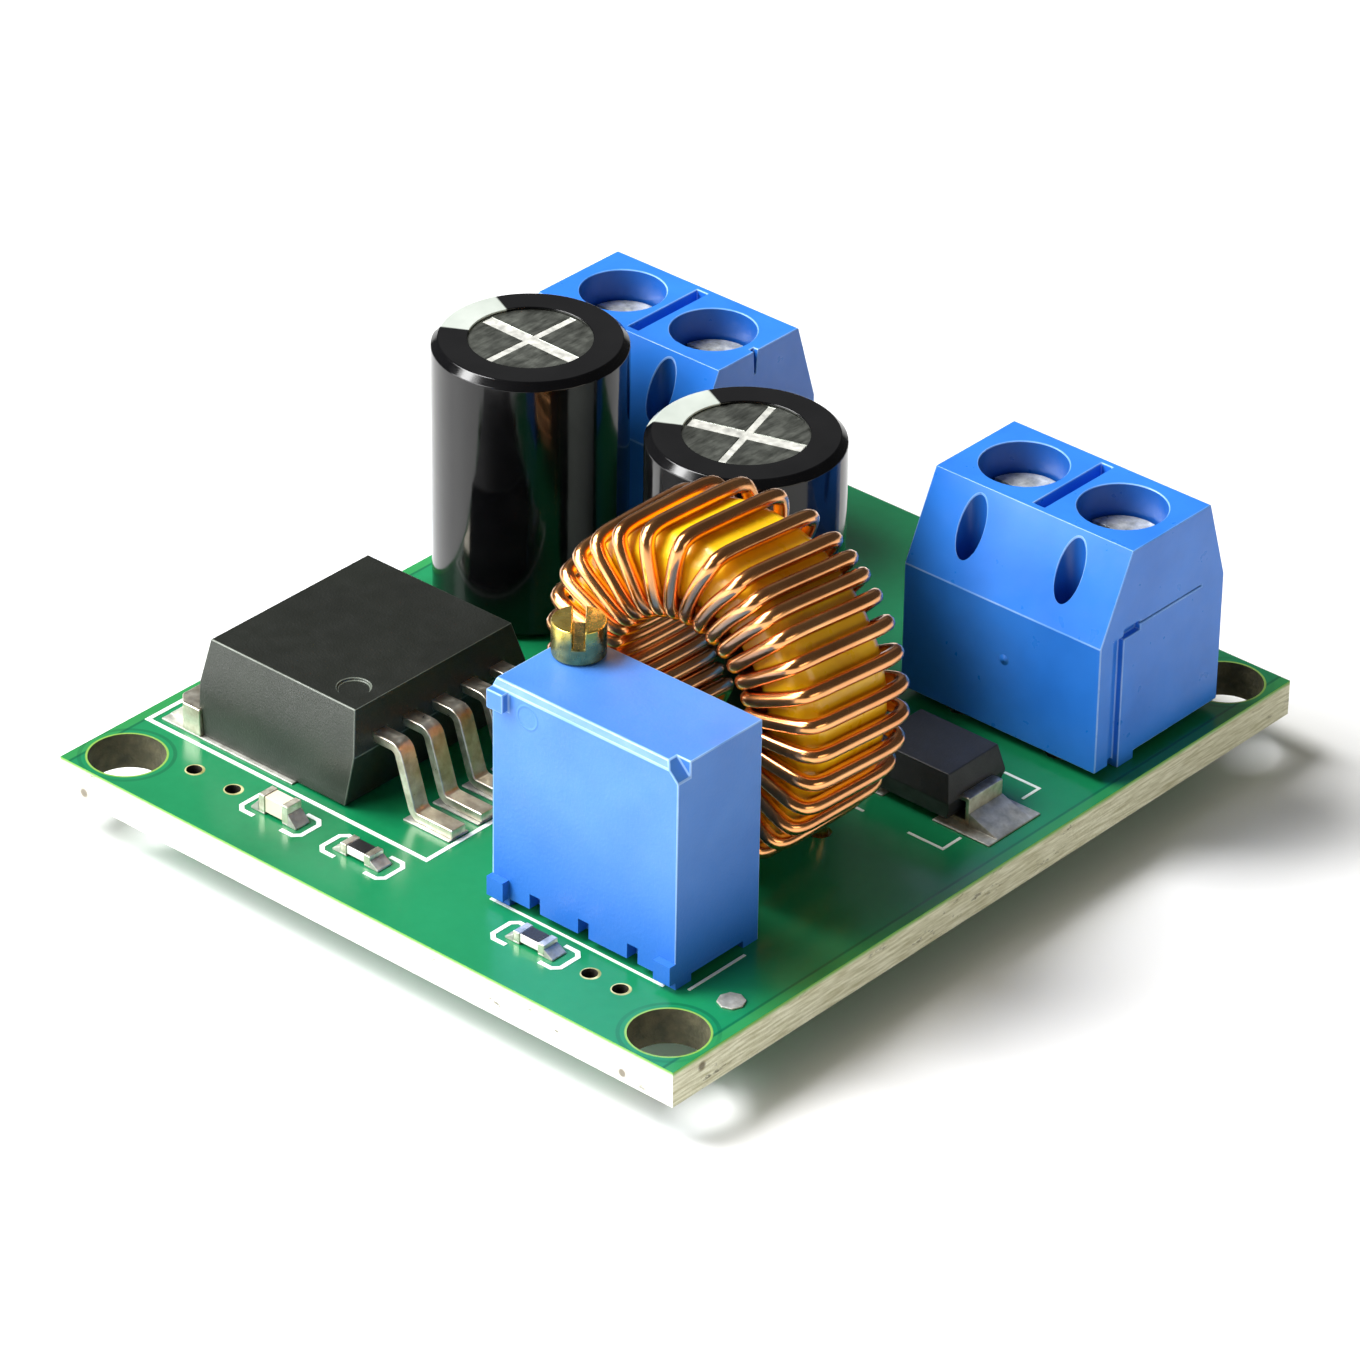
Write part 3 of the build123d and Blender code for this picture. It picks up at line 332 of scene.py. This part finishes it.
def board_look():
    """Green mask on the faces, glass-fibre board on the edges with painted light whitening the front edge,
    painted shade on the dark hole walls and thin rims at the holes.
    """
    look = Look("board_mask", 0.3)
    up = look.math("ABSOLUTE", look.axis(look.normal, "Z"))
    face = look.span(up, 0.4, 0.6)
    slow = look.span(look.noise(9.0, 2), 0.3, 0.7)
    fine = look.span(look.noise(0.5, 3), 0.3, 0.7)
    mask = look.mix(slow, (0.004, 0.165, 0.056), (0.009, 0.225, 0.085))
    mask = look.mix(look.math("MULTIPLY", fine, 0.10), mask, (0.02, 0.32, 0.12))
    aside = look.math("ABSOLUTE", look.axis(look.place, "X"))
    margin = look.span(aside, 16.02 * MM, 16.08 * MM)
    brim = look.math("MULTIPLY", look.span(aside, 15.90 * MM, 15.96 * MM),
                     look.math("SUBTRACT", 1.0, margin))
    mask = look.mix(look.math("MULTIPLY", margin, 0.35), mask, (0.05, 0.30, 0.05))
    mask = look.mix(look.math("MULTIPLY", brim, 0.6), mask, (0.002, 0.07, 0.03))
    layers = look.span(look.noise(0.12, 3, 0.6, (0.08, 0.08, 1.0)), 0.35, 0.65)
    edge = look.mix(layers, (0.50, 0.48, 0.30), (0.84, 0.83, 0.66))
    # Painted light: the front edge is whitened where the light falls full on it.
    front = look.span(look.axis(look.normal, "Y"), -0.7, -0.4, 0.75, 0.0)
    edge = look.mix(front, edge, (0.92, 0.93, 0.88))
    specks = look.math("MULTIPLY", look.span(look.noise(0.5, 4, 0.7, (0.5, 0.5, 1.2)), 0.60, 0.68),
                       look.span(look.noise(3.5, 2, shift=9.0), 0.45, 0.6))
    edge = look.mix(look.math("MULTIPLY", specks, 0.8), edge, (0.10, 0.09, 0.04))
    for x, y, z, size in NICKS:
        nick = look.span(look.away(x, y, z), size * 0.5 * MM, size * MM, 0.85, 0.0)
        edge = look.mix(nick, edge, (0.12, 0.09, 0.05))
    height = look.axis(look.place, "Z")
    upper = look.span(height, (BOARD_TOP - 0.22) * MM, (BOARD_TOP - 0.05) * MM)
    edge = look.mix(upper, edge, (0.16, 0.42, 0.06))
    mount = 0.0
    rim = 0.0
    keep = 0.0
    for x, y in MOUNTS:
        mount = look.math("MAXIMUM", mount, look.near(x, y, 1.75))
        rim = look.math("MAXIMUM", rim, look.near(x, y, 1.68))
        outer, inner = look.near(x, y, 2.02), look.near(x, y, 1.86)
        band = look.math("MULTIPLY", outer, look.math("SUBTRACT", 1.0, inner))
        keep = look.math("MAXIMUM", keep, band)
    vias = 0.0
    for x, y in VIAS:
        vias = look.math("MAXIMUM", vias, look.near(x + 0.04, y, 0.41))
    # Painted shade: the mount hole walls and the via holes are darkened.
    edge = look.mix(mount, edge, look.mix(fine, (0.045, 0.045, 0.022), (0.10, 0.09, 0.045)))
    edge = look.mix(vias, edge, (0.02, 0.015, 0.008))
    ring = look.math("MULTIPLY", keep, look.span(slow, 0.2, 0.9, 0.1, 0.7))
    mask = look.mix(ring, mask, (0.002, 0.06, 0.03))
    mask = look.mix(look.math("MULTIPLY", rim, 0.75), mask, (0.30, 0.48, 0.08))
    mask = look.mix(look.math("MULTIPLY", vias, 0.9), mask,
                    look.mix(fine, (0.25, 0.22, 0.06), (0.72, 0.66, 0.34)))
    look.colour(look.mix(face, edge, mask))
    look.roughness(look.span(face, 0, 1, 0.75, 0.24))
    look.bump(look.noise(2.5, 2), 0.012, 0.5)
    look.bump(look.math("MULTIPLY", look.noise(0.2, 3), look.span(face, 0, 1, 1, 0.02)), 0.05)
    return look.made


def core_look():
    """Yellow powder coat with a fine grain."""
    look = Look("core_coat", 0.3, Coat_Weight=0.3, Coat_Roughness=0.15)
    drift = look.span(look.noise(2.0, 3), 0.3, 0.7)
    look.colour(look.mix(drift, (0.84, 0.46, 0.003), (1.0, 0.66, 0.008)))
    look.roughness(look.span(look.noise(0.6, 3), 0.3, 0.7, 0.24, 0.42))
    look.bump(look.noise(0.35, 3), 0.02)
    return look.made


def copper_look():
    """Lacquered copper wire, smooth, with a slow drift of tone."""
    look = Look("copper_lacquer", 0.22, 1.0, Coat_Weight=0.6, Coat_Roughness=0.12)
    drift = look.span(look.noise(2.2, 2), 0.3, 0.7)
    look.colour(look.mix(drift, (0.76, 0.29, 0.09), (0.96, 0.46, 0.17)))
    look.roughness(look.span(look.noise(1.4, 2), 0.3, 0.7, 0.19, 0.27))
    return look.made


def can_look():
    """Brushed aluminium with scratches across the disc."""
    look = Look("can_metal", 0.35, 1.0)
    fine = look.noise(0.25, 4, 0.65, (1, 0.2, 1))
    look.colour(look.mix(look.span(fine, 0.3, 0.7), (0.14, 0.15, 0.13), (0.42, 0.44, 0.39)))
    look.roughness(look.span(look.noise(0.7, 3), 0.3, 0.7, 0.28, 0.5))
    look.bump(fine, 0.015)
    return look.made


def sleeve_look(name, x, y, middle, half):
    """Glossy black shrink sleeve with a plain pale stripe down one side."""
    look = Look(name, 0.13, Specular_IOR_Level=0.36)
    shift = look.new("ShaderNodeVectorMath", operation="SUBTRACT")
    look.put(shift.inputs[0], look.place)
    shift.inputs[1].default_value = (x * MM, y * MM, 0)
    heading = look.new("ShaderNodeVectorMath", operation="DOT_PRODUCT")
    flat = look.new("ShaderNodeVectorMath", operation="MULTIPLY")
    look.put(flat.inputs[0], shift.outputs[0])
    flat.inputs[1].default_value = (1, 1, 0)
    unit = look.new("ShaderNodeVectorMath", operation="NORMALIZE")
    look.put(unit.inputs[0], flat.outputs[0])
    look.put(heading.inputs[0], unit.outputs[0])
    a = math.radians(middle)
    heading.inputs[1].default_value = (math.cos(a), math.sin(a), 0)
    edge = math.cos(math.radians(half))
    stripe = look.span(heading.outputs["Value"], edge - 0.006, edge + 0.006)
    drift = look.span(look.noise(2.0, 3), 0.3, 0.7)
    black = look.mix(drift, (0.0015, 0.0015, 0.002), (0.004, 0.004, 0.0045))
    pale = look.mix(drift, (0.42, 0.46, 0.42), (0.54, 0.58, 0.54))
    look.colour(look.mix(stripe, black, pale))
    look.roughness(look.span(look.noise(1.0, 3), 0.25, 0.75, 0.07, 0.15))
    look.bump(look.noise(2.6, 2), 0.03, 0.6)
    return look.made


def brass_look():
    """Bright brass on top, dull and greenish low on the collar."""
    look = Look("screw_brass", 0.25, 1.0)
    patches = look.span(look.noise(0.7, 4, 0.6), 0.32, 0.68)
    bright = look.mix(patches, (0.66, 0.44, 0.06), (1.0, 0.80, 0.24))
    dull = look.mix(patches, (0.20, 0.19, 0.07), (0.46, 0.42, 0.16))
    height = look.span(look.axis(look.place, "Z"), 14.05 * MM, 14.45 * MM)
    look.colour(look.mix(height, dull, bright))
    look.roughness(look.span(look.noise(0.5, 3, shift=3.7), 0.25, 0.75, 0.16, 0.36))
    look.bump(look.noise(0.5, 2), 0.006)
    return look.made


def trimmer_look():
    """Light blue plastic, deeper blue low down as painted shade, with a faint plain ring on the front."""
    look = plastic("trimmer_plastic", (0.066, 0.225, 0.66), (0.050, 0.190, 0.60), 0.42, 0.14, 0.012)
    # Painted shade: the lower part of the housing is made deeper blue.
    low = look.span(look.axis(look.place, "Z"), 3.4 * MM, 9.0 * MM, 0.95, 0.0)
    tone = look.tone()
    look.colour(look.mix(low, tone, (0.010, 0.130, 0.56)))
    away = look.away(5.2, -14.945, 12.2)
    inner = look.span(away, 0.42 * MM, 0.5 * MM)
    outer = look.span(away, 0.5 * MM, 0.58 * MM, 1.0, 0.0)
    look.bump(look.math("MULTIPLY", inner, outer), 0.02)
    return look.made


def regulator_look():
    """Black moulding compound, darker on top as painted shade."""
    look = plastic("regulator_surface", (0.022, 0.028, 0.020), (0.015, 0.019, 0.014), 0.4, 0.09, 0.014)
    tone = look.tone()
    # Painted shade: upward faces are darkened.
    top = look.span(look.axis(look.normal, "Z"), 0.5, 0.8, 0.0, 0.75)
    look.colour(look.mix(top, tone, (0.004, 0.0045, 0.003)))
    return look.made


def terminal_look():
    """Mid-blue plastic, darker in wells and probe holes as painted shade, with a gate mark on the right
    housing.
    """
    look = plastic("terminal_plastic", (0.026, 0.205, 0.76), (0.018, 0.165, 0.65), 0.32, 0.4, 0.006)
    # Painted shade: the wells and probe holes are darkened.
    hole = 0.0
    for x in ALL_POLES:
        hole = look.math("MAXIMUM", hole, look.near(x, WELL_Y, 1.88))
        hole = look.math("MAXIMUM", hole, look.near(x, PROBE_Y, 0.62))
    tone = look.tone()
    look.colour(look.mix(look.math("MULTIPLY", hole, 0.7), tone, (0.004, 0.06, 0.30)))
    look.bump(look.span(look.away(10.62, 7.5, 6.99), 0.05 * MM, 0.24 * MM, 1.0, 0.0), 0.14)
    return look.made


# The pale stripe's heading and half its width, in degrees round the can
STRIPE_HEADING = 182
STRIPE_HALF = 27


def build_looks():
    """Every material by a short key."""
    looks = {
        "board": board_look(), "core": core_look(), "copper": copper_look(), "can": can_look(),
        "trimmer": trimmer_look(), "terminal": terminal_look(), "brass": brass_look(),
        "regulator": regulator_look(),
    }
    plastics = {
        # The next three plastics are painted highlights: light colours put on the rounded edges of the
        # housings and the regulator.
        "regulator_painted_highlight": ((0.16, 0.18, 0.15), (0.05, 0.06, 0.045), 0.35, 0.09, 0.014),
        "terminal_painted_highlight": ((0.30, 0.50, 0.92), (0.07, 0.28, 0.80), 0.3, 0.2, 0.01),
        "trimmer_painted_highlight": ((0.34, 0.55, 0.92), (0.16, 0.36, 0.80), 0.35, 0.2, 0.01),
        "diode": ((0.011, 0.012, 0.014), (0.006, 0.007, 0.009), 0.5, 0.10, 0.010),
        "cream": ((0.80, 0.74, 0.60), (0.62, 0.52, 0.36), 0.35, 0.1, 0.01),
        "white": ((0.88, 0.88, 0.84), (0.74, 0.74, 0.70), 0.4, 0.1, 0.01),
        "print": ((0.86, 0.92, 0.88), (0.74, 0.82, 0.76), 0.5, 0.1, 0.01),
        "element": ((0.010, 0.010, 0.011), (0.025, 0.025, 0.025), 0.3, 0.1, 0.01),
    }
    for key, numbers in plastics.items():
        looks[key] = plastic(key + "_surface", *numbers).made
    metals = {
        "tin": ((0.92, 0.88, 0.76), (0.60, 0.54, 0.42), 0.36, 0.5, 0.25, 0.006),
        "solder": ((0.66, 0.66, 0.60), (0.36, 0.36, 0.32), 0.5, 0.5, 0.3, 0.015, 0.6),
        "steel": ((0.95, 0.96, 0.90), (0.46, 0.47, 0.42), 0.36, 0.45, 0.6, 0.11, 0.6),
        "score": ((0.98, 0.98, 0.92), (0.86, 0.86, 0.80), 0.6, 0.6, 0.3, 0.004),
    }
    for key, numbers in metals.items():
        looks[key] = metal(key + "_metal", *numbers).made
    for name, x, y, _ in CANS:
        looks[name + "_sleeve"] = sleeve_look(name + "_sleeve_film", x, y, STRIPE_HEADING, STRIPE_HALF)
    return looks


# Winding

CORE = (7.10, -5.53, 10.96)
CORE_OUTER, CORE_INNER, CORE_WIDTH = 6.6, 3.75, 5.0
WIRE_RADIUS = 0.325
WIRE_STAND = 0.335
TURNS = 28
TURN_PITCH = 10.92
FIRST_RIM_ANGLE = -68.0
FIRST_BORE_ANGLE = -66.6
TURN_LEAN = 3.0
BUNCH_SHIFT = 11.9
BUNCH_TURN = 13.4
BUNCH_SPREAD = 2.5
# How far the wire's control points stand off the core's corners, and how far it bows along a face
CORNER_EASE = 0.38
EDGE_EASE = 0.1
BOW = 0.02


def rim_angle(turn):
    """Where a turn crosses the core's rim, in degrees; some turns are bunched together."""
    bunch = math.exp(-((turn - BUNCH_TURN) / BUNCH_SPREAD) ** 2)
    return FIRST_RIM_ANGLE + TURN_PITCH * turn - BUNCH_SHIFT * bunch


def on_core(radius, y, angle):
    """A point at a radius and angle about the core's axis."""
    a = math.radians(angle)
    return (CORE[0] + radius * math.cos(a), CORE[1] + y, CORE[2] + radius * math.sin(a))


def winding_points():
    """The wire's control points, turn by turn, from one board hole to the other."""
    rim, bore = CORE_OUTER + WIRE_STAND, CORE_INNER - WIRE_STAND
    side, face = CORE_WIDTH / 2, CORE_WIDTH / 2 + WIRE_STAND
    middle = (rim + bore) / 2
    first = on_core(rim, face, rim_angle(0))
    route = [(first[0], first[1], 1.0), (first[0], first[1], 2.6), (first[0], first[1], first[2] - 0.9)]
    for turn in range(TURNS):
        back_rim = rim_angle(turn)
        front_rim = back_rim + TURN_LEAN
        front_bore = FIRST_BORE_ANGLE + TURN_PITCH * turn
        back_bore = front_bore + TURN_LEAN
        route += [
            on_core(rim, side - EDGE_EASE, back_rim),
            on_core(rim + BOW, side - 1.4, back_rim + 0.7),
            on_core(rim + BOW, -side + 1.4, front_rim - 0.7),
            on_core(rim, -side + EDGE_EASE, front_rim),
            on_core(rim - CORNER_EASE, -face, front_rim),
            on_core(middle, -face - BOW, (front_rim + front_bore) / 2),
            on_core(bore + CORNER_EASE, -face, front_bore),
            on_core(bore, -side + EDGE_EASE, front_bore),
            on_core(bore, side - EDGE_EASE, back_bore),
            on_core(bore + CORNER_EASE, face, back_bore),
            on_core(middle, face + BOW, (back_bore + rim_angle(turn + 1)) / 2),
            on_core(rim - CORNER_EASE, face, rim_angle(turn + 1)),
        ]
    last = route.pop()
    route += [(last[0], last[1], last[2] - 0.3), (last[0], last[1], 2.6), (last[0], last[1], 1.0)]
    return route


def winding(look):
    """The copper wire as one smooth round strand."""
    curve = bpy.data.curves.new("winding_wire", "CURVE")
    curve.dimensions = "3D"
    line = curve.splines.new("NURBS")
    route = winding_points()
    line.points.add(len(route) - 1)
    for point, place in zip(line.points, route):
        point.co = (*(c * MM for c in place), 1)
    line.order_u = 3
    line.use_endpoint_u = True
    line.resolution_u = 4
    curve.bevel_depth = WIRE_RADIUS * MM
    curve.bevel_resolution = 3
    curve.use_fill_caps = True
    made = bpy.data.objects.new("winding_curve", curve)
    bpy.context.scene.collection.objects.link(made)
    graph = bpy.context.evaluated_depsgraph_get()
    mesh = bpy.data.meshes.new_from_object(made.evaluated_get(graph), depsgraph=graph)
    bpy.data.objects.remove(made)
    mesh.name = "inductor_wire"
    for polygon in mesh.polygons:
        polygon.use_smooth = True
    piece = linked("inductor_wire", mesh, "board", look)
    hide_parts("inductor_winding")


# Print on the board

PRINT_HIGH = 0.02
PRINT_WIDE = 0.2
PRINT_THIN = 0.13


def ribbon(points, faces, path, width, z, high=PRINT_HIGH):
    """Adds a flat line of a width along a path of x, y places, mitred at its corners."""
    closed = path[0] == path[-1]
    places = [Vector(p) for p in (path[:-1] if closed else path)]
    count = len(places)
    start = len(points)
    for i, place in enumerate(places):
        before = places[i - 1] if closed or i else None
        after = places[(i + 1) % count] if closed or i < count - 1 else None
        ways = [(place - before).normalized()] if before is not None else []
        ways += [(after - place).normalized()] if after is not None else []
        way = sum(ways, Vector((0, 0))).normalized()
        across = Vector((-way.y, way.x)) * (width / 2 / max(0.5, way.dot(ways[0])))
        for side in (across, -across):
            points.append((place.x + side.x, place.y + side.y, z))
            points.append((place.x + side.x, place.y + side.y, z + high))
    for i in range(count if closed else count - 1):
        a = start + 4 * i
        b = start + 4 * ((i + 1) % count)
        faces += [(a + 1, a + 3, b + 3, b + 1), (a, b, b + 2, a + 2),
                  (a, a + 1, b + 1, b), (a + 2, b + 2, b + 3, a + 3)]
    if not closed:
        a, b = start, start + 4 * (count - 1)
        faces += [(a, a + 2, a + 3, a + 1), (b, b + 1, b + 3, b + 2)]


def printed(look):
    """The white outlines round the parts."""
    points, faces = [], []
    paths = [
        (PRINT_WIDE, [(-0.36, -14.76), (-15.91, -14.76), (-15.91, -3.84), (-0.36, -3.84), (-0.36, -14.76)]),
        (PRINT_THIN, [(3.35, -15.05), (12.4, -15.05)]),
        (PRINT_THIN, [(13.27, -14.6), (13.27, -11.33)]),
        (PRINT_THIN, [(12.31, -0.38), (14.1, -0.38), (14.1, 0.74)]),
        (PRINT_THIN, [(14.1, 4.62), (14.1, 5.68), (12.31, 5.68)]),
        (PRINT_THIN, [(10.0, -0.38), (7.9, -0.38)]),
    ]
    for x0, x1 in ((-8.55, -5.25), (-4.1, -0.67), (5.1, 8.64)):
        for end, way in ((x0, 1), (x1, -1)):
            paths.append((PRINT_WIDE, [
                (end + way * 0.9, -17.05), (end + way * 0.25, -17.05), (end, -16.8),
                (end, -15.8), (end + way * 0.25, -15.55), (end + way * 0.9, -15.55),
            ]))
    for width, path in paths:
        ribbon(points, faces, path, width, BOARD_TOP)
    linked("board_print", mesh_of("board_print", points, faces), "board", look)


def elements(look):
    """The dark resistance plates on top of both chip resistors, left plain."""
    points, faces = [], []
    for x in (-2.40, 6.87):
        ribbon(points, faces, [(x - 0.44, -16.3), (x + 0.44, -16.3)], 0.64, 3.685, 0.035)
    linked("resistor_plates", mesh_of("resistor_plates", points, faces), "board", look)


# Capacitor tops

CROSS_REACH = 2.49
CROSS_DROP = 0.119
CROSS_HIGH = 0.1
WIDE_ARM = 0.55
NARROW_ARM = 0.30


def scores(look):
    """The bright pressed cross on each can, one arm wide and one narrow."""
    for name, x, y, angle in CANS:
        points, faces = [], []
        arms = ((angle, WIDE_ARM, -CROSS_REACH), (angle + 90, NARROW_ARM, WIDE_ARM / 2),
                (angle - 90, NARROW_ARM, WIDE_ARM / 2))
        for heading, width, start in arms:
            a = math.radians(heading)
            way = Vector((math.cos(a), math.sin(a)))
            middle = Vector((x, y))
            path = [tuple(middle + way * start), tuple(middle + way * CROSS_REACH)]
            ribbon(points, faces, path, width, CAN_TOP - CROSS_DROP, CROSS_HIGH)
        mesh = mesh_of(name + "_can_score", points, faces)
        linked(name + "_can_score", mesh, "board", look)


# Solder under the board

# Place and lead radius of each joint: terminals, trimmer, capacitors and winding
JOINTS = [(x, 8.6, 0.62) for x in ALL_POLES]
JOINTS += [(x, -12.53, 0.28) for x in (5.59, 8.13, 10.67)]
JOINTS += [(x, 3.28, 0.32) for x in (-13.15, -9.65, -1.40, 2.10)]
JOINTS += [(x, -2.70, 0.33) for x in (9.70, 3.81)]
JOINT_SIDES = 24


def joints(look):
    """Concave solder cones round the leads under the board."""
    points, faces = [], []
    for x, y, core in JOINTS:
        start = len(points)
        profile = [(core + 0.52, 1.6), (core + 0.50, 1.50), (core + 0.30, 1.25), (core + 0.14, 0.95),
                   (core + 0.05, 0.62), (core + 0.01, 0.42), (0.001, 0.34)]
        for radius, z in profile:
            for i in range(JOINT_SIDES):
                a = 2 * math.pi * i / JOINT_SIDES
                points.append((x + radius * math.cos(a), y + radius * math.sin(a), z))
        for ring in range(len(profile) - 1):
            low = start + ring * JOINT_SIDES
            high = low + JOINT_SIDES
            for i in range(JOINT_SIDES):
                j = (i + 1) % JOINT_SIDES
                faces.append((low + i, high + i, high + j, low + j))
        faces.append(tuple(start + i for i in range(JOINT_SIDES)))
    mesh = mesh_of("joint_cones", points, faces)
    for polygon in mesh.polygons:
        polygon.use_smooth = len(polygon.vertices) == 4
    piece = linked("joint_cones", mesh, "board", look)
    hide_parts("underside_solder")


# Stage

FLOOR_REACH = 3000
FLOOR_CORNERS = [(x * FLOOR_REACH, y * FLOOR_REACH, 0) for x, y in ((-1, -1), (1, -1), (1, 1), (-1, 1))]


def floor():
    """A plain white floor."""
    look = Look("floor_paint", 0.35)
    look.colour(look.mix(look.noise(40, 2), (0.93, 0.93, 0.93), (0.95, 0.95, 0.95)))
    mesh = mesh_of("floor", FLOOR_CORNERS, [(0, 1, 2, 3)])
    piece = bpy.data.objects.new("floor", mesh)
    bpy.context.scene.collection.objects.link(piece)
    piece.data.materials.append(look.made)


def area(name, place, aim, size, power, colour=(1, 1, 1)):
    """An area light at a place, aimed at another, in metres and watts."""
    lamp = bpy.data.lights.new(name, "AREA")
    lamp.shape = "RECTANGLE"
    lamp.size, lamp.size_y = size
    lamp.energy = power
    lamp.color = colour
    made = bpy.data.objects.new(name, lamp)
    bpy.context.scene.collection.objects.link(made)
    made.location = place
    made.rotation_euler = (Vector(aim) - Vector(place)).to_track_quat("-Z", "Y").to_euler()


def lights():
    """A soft key and a large front light, weak ones from the right and behind, and a dim sky."""
    area("key", (-0.279, -0.142, 0.415), (0, 0, 0.005), (0.26, 0.26), 4.2)
    area("front", (-0.26, -0.39, 0.24), (0, 0, 0.005), (0.40, 0.40), 3.7)
    area("right", (0.46, -0.02, 0.12), (0, 0, 0.008), (0.30, 0.14), 0.34, (1.0, 0.94, 0.78))
    area("back", (-0.34, 0.40, 0.31), (0, 0, 0.008), (0.40, 0.24), 0.05)
    world = bpy.data.worlds.new("studio")
    bpy.context.scene.world = world
    world.use_nodes = True
    nodes, links = world.node_tree.nodes, world.node_tree.links
    path = nodes.new("ShaderNodeLightPath")
    shade = next(n for n in nodes if n.type == "BACKGROUND")
    shade.inputs["Color"].default_value = (1, 0.97, 0.82, 1)
    shade.inputs["Strength"].default_value = 0.16
    below = shade.outputs[0]
    for ray, strength in (("Is Glossy Ray", 0.07), ("Is Camera Ray", 1.0)):
        layer = nodes.new("ShaderNodeBackground")
        choice = nodes.new("ShaderNodeMixShader")
        links.new(path.outputs[ray], choice.inputs[0])
        links.new(below, choice.inputs[1])
        links.new(layer.outputs[0], choice.inputs[2])
        below = choice.outputs[0]
        layer.inputs["Color"].default_value = (1, 1, 1, 1)
        layer.inputs["Strength"].default_value = strength
    out = next(n for n in nodes if n.type == "OUTPUT_WORLD")
    links.new(below, out.inputs[0])


# The photograph's view: angles in degrees, place and focal length in millimetres
VIEW_ANGLES = (41.114, 31.497, 0.790)
VIEW_PLACE = (153.465, -175.987, 148.09)
VIEW_LENS = 178.58


def camera():
    """The camera at the photograph's view."""
    turn, rise, roll = (math.radians(a) for a in VIEW_ANGLES)
    back = Vector((math.sin(turn) * math.cos(rise), -math.cos(turn) * math.cos(rise), math.sin(rise)))
    right = Vector((math.cos(turn), math.sin(turn), 0))
    up = back.cross(right)
    across = right * math.cos(roll) + up * math.sin(roll)
    upward = -right * math.sin(roll) + up * math.cos(roll)
    view = bpy.data.cameras.new("photo_view")
    view.sensor_width = 36
    view.lens = VIEW_LENS
    view.clip_start = 0.01
    view.clip_end = 20
    made = bpy.data.objects.new("photo_view", view)
    bpy.context.scene.collection.objects.link(made)
    turned = Matrix((across, upward, back)).transposed().to_4x4()
    made.matrix_world = Matrix.Translation(Vector(VIEW_PLACE) * MM) @ turned
    bpy.context.scene.camera = made


camera()
lights()
floor()
bpy.context.scene.view_settings.view_transform = "Standard"

LOOKS = build_looks()
# Pieces that show as their CAD solids are all tinned
for node, made in NODES.items():
    if any(word in node for word in ("_leads", "_contacts", "_clamp", "_pins")):
        made.data.materials.clear()
        made.data.materials.append(LOOKS["tin"])

# A thin slit in the end face of the input housing
SLIT_OUTLINE = ((11.52, 13.4), (11.80, 13.4), (11.60, 12.1), (11.66, 12.1))
SLIT = [(x, y, z) for x in (-6.6, -6.2) for y, z in SLIT_OUTLINE]
softened("circuit_board", LOOKS["board"], 0.05, holes=[(x, y, 0.33, 1.0, 4.0) for x, y in VIAS])
for side in ("input", "output"):
    probes = [(x, PROBE_Y, 0.6, 7.3, 14.0) for x in POLES[side]]
    slits = [SLIT] if side == "input" else []
    softened(side + "_terminal_housing", LOOKS["terminal"], 0.05, 1, holes=probes, cuts=slits,
             rim=LOOKS["terminal_painted_highlight"], clamp=False)
    for number in (1, 2):
        softened(f"{side}_terminal_screw_{number}", LOOKS["steel"], 0.12, 3)
    softened(side + "_capacitor_can", LOOKS["can"], 0.05)
    softened(side + "_capacitor_sleeve", LOOKS[side + "_sleeve"], 0.12, 3, 20)
softened("trimmer_housing", LOOKS["trimmer"], 0.06, 2, rim=LOOKS["trimmer_painted_highlight"], clamp=False, above=5.5)
softened("trimmer_screw", LOOKS["brass"], 0.07)
softened("regulator_body", LOOKS["regulator"], 0.05, 1, rim=LOOKS["regulator_painted_highlight"], clamp=False)
softened("regulator_tab", LOOKS["tin"], 0.05)
softened("regulator_leads", LOOKS["tin"], 0.05)
softened("diode_body", LOOKS["diode"], 0.06)
softened("diode_terminals", LOOKS["tin"], 0.04)
for chip, key in (("chip_capacitor", "cream"), ("chip_resistor_1", "white"), ("chip_resistor_2", "white")):
    softened(chip + "_body", LOOKS[key], 0.03)
    softened(chip + "_ends", LOOKS["tin"], 0.03)
softened("solder_pads", LOOKS["solder"], 0.03)
softened("inductor_core", LOOKS["core"], 0.25, 3)
winding(LOOKS["copper"])
printed(LOOKS["print"])
elements(LOOKS["element"])
scores(LOOKS["score"])
joints(LOOKS["solder"])
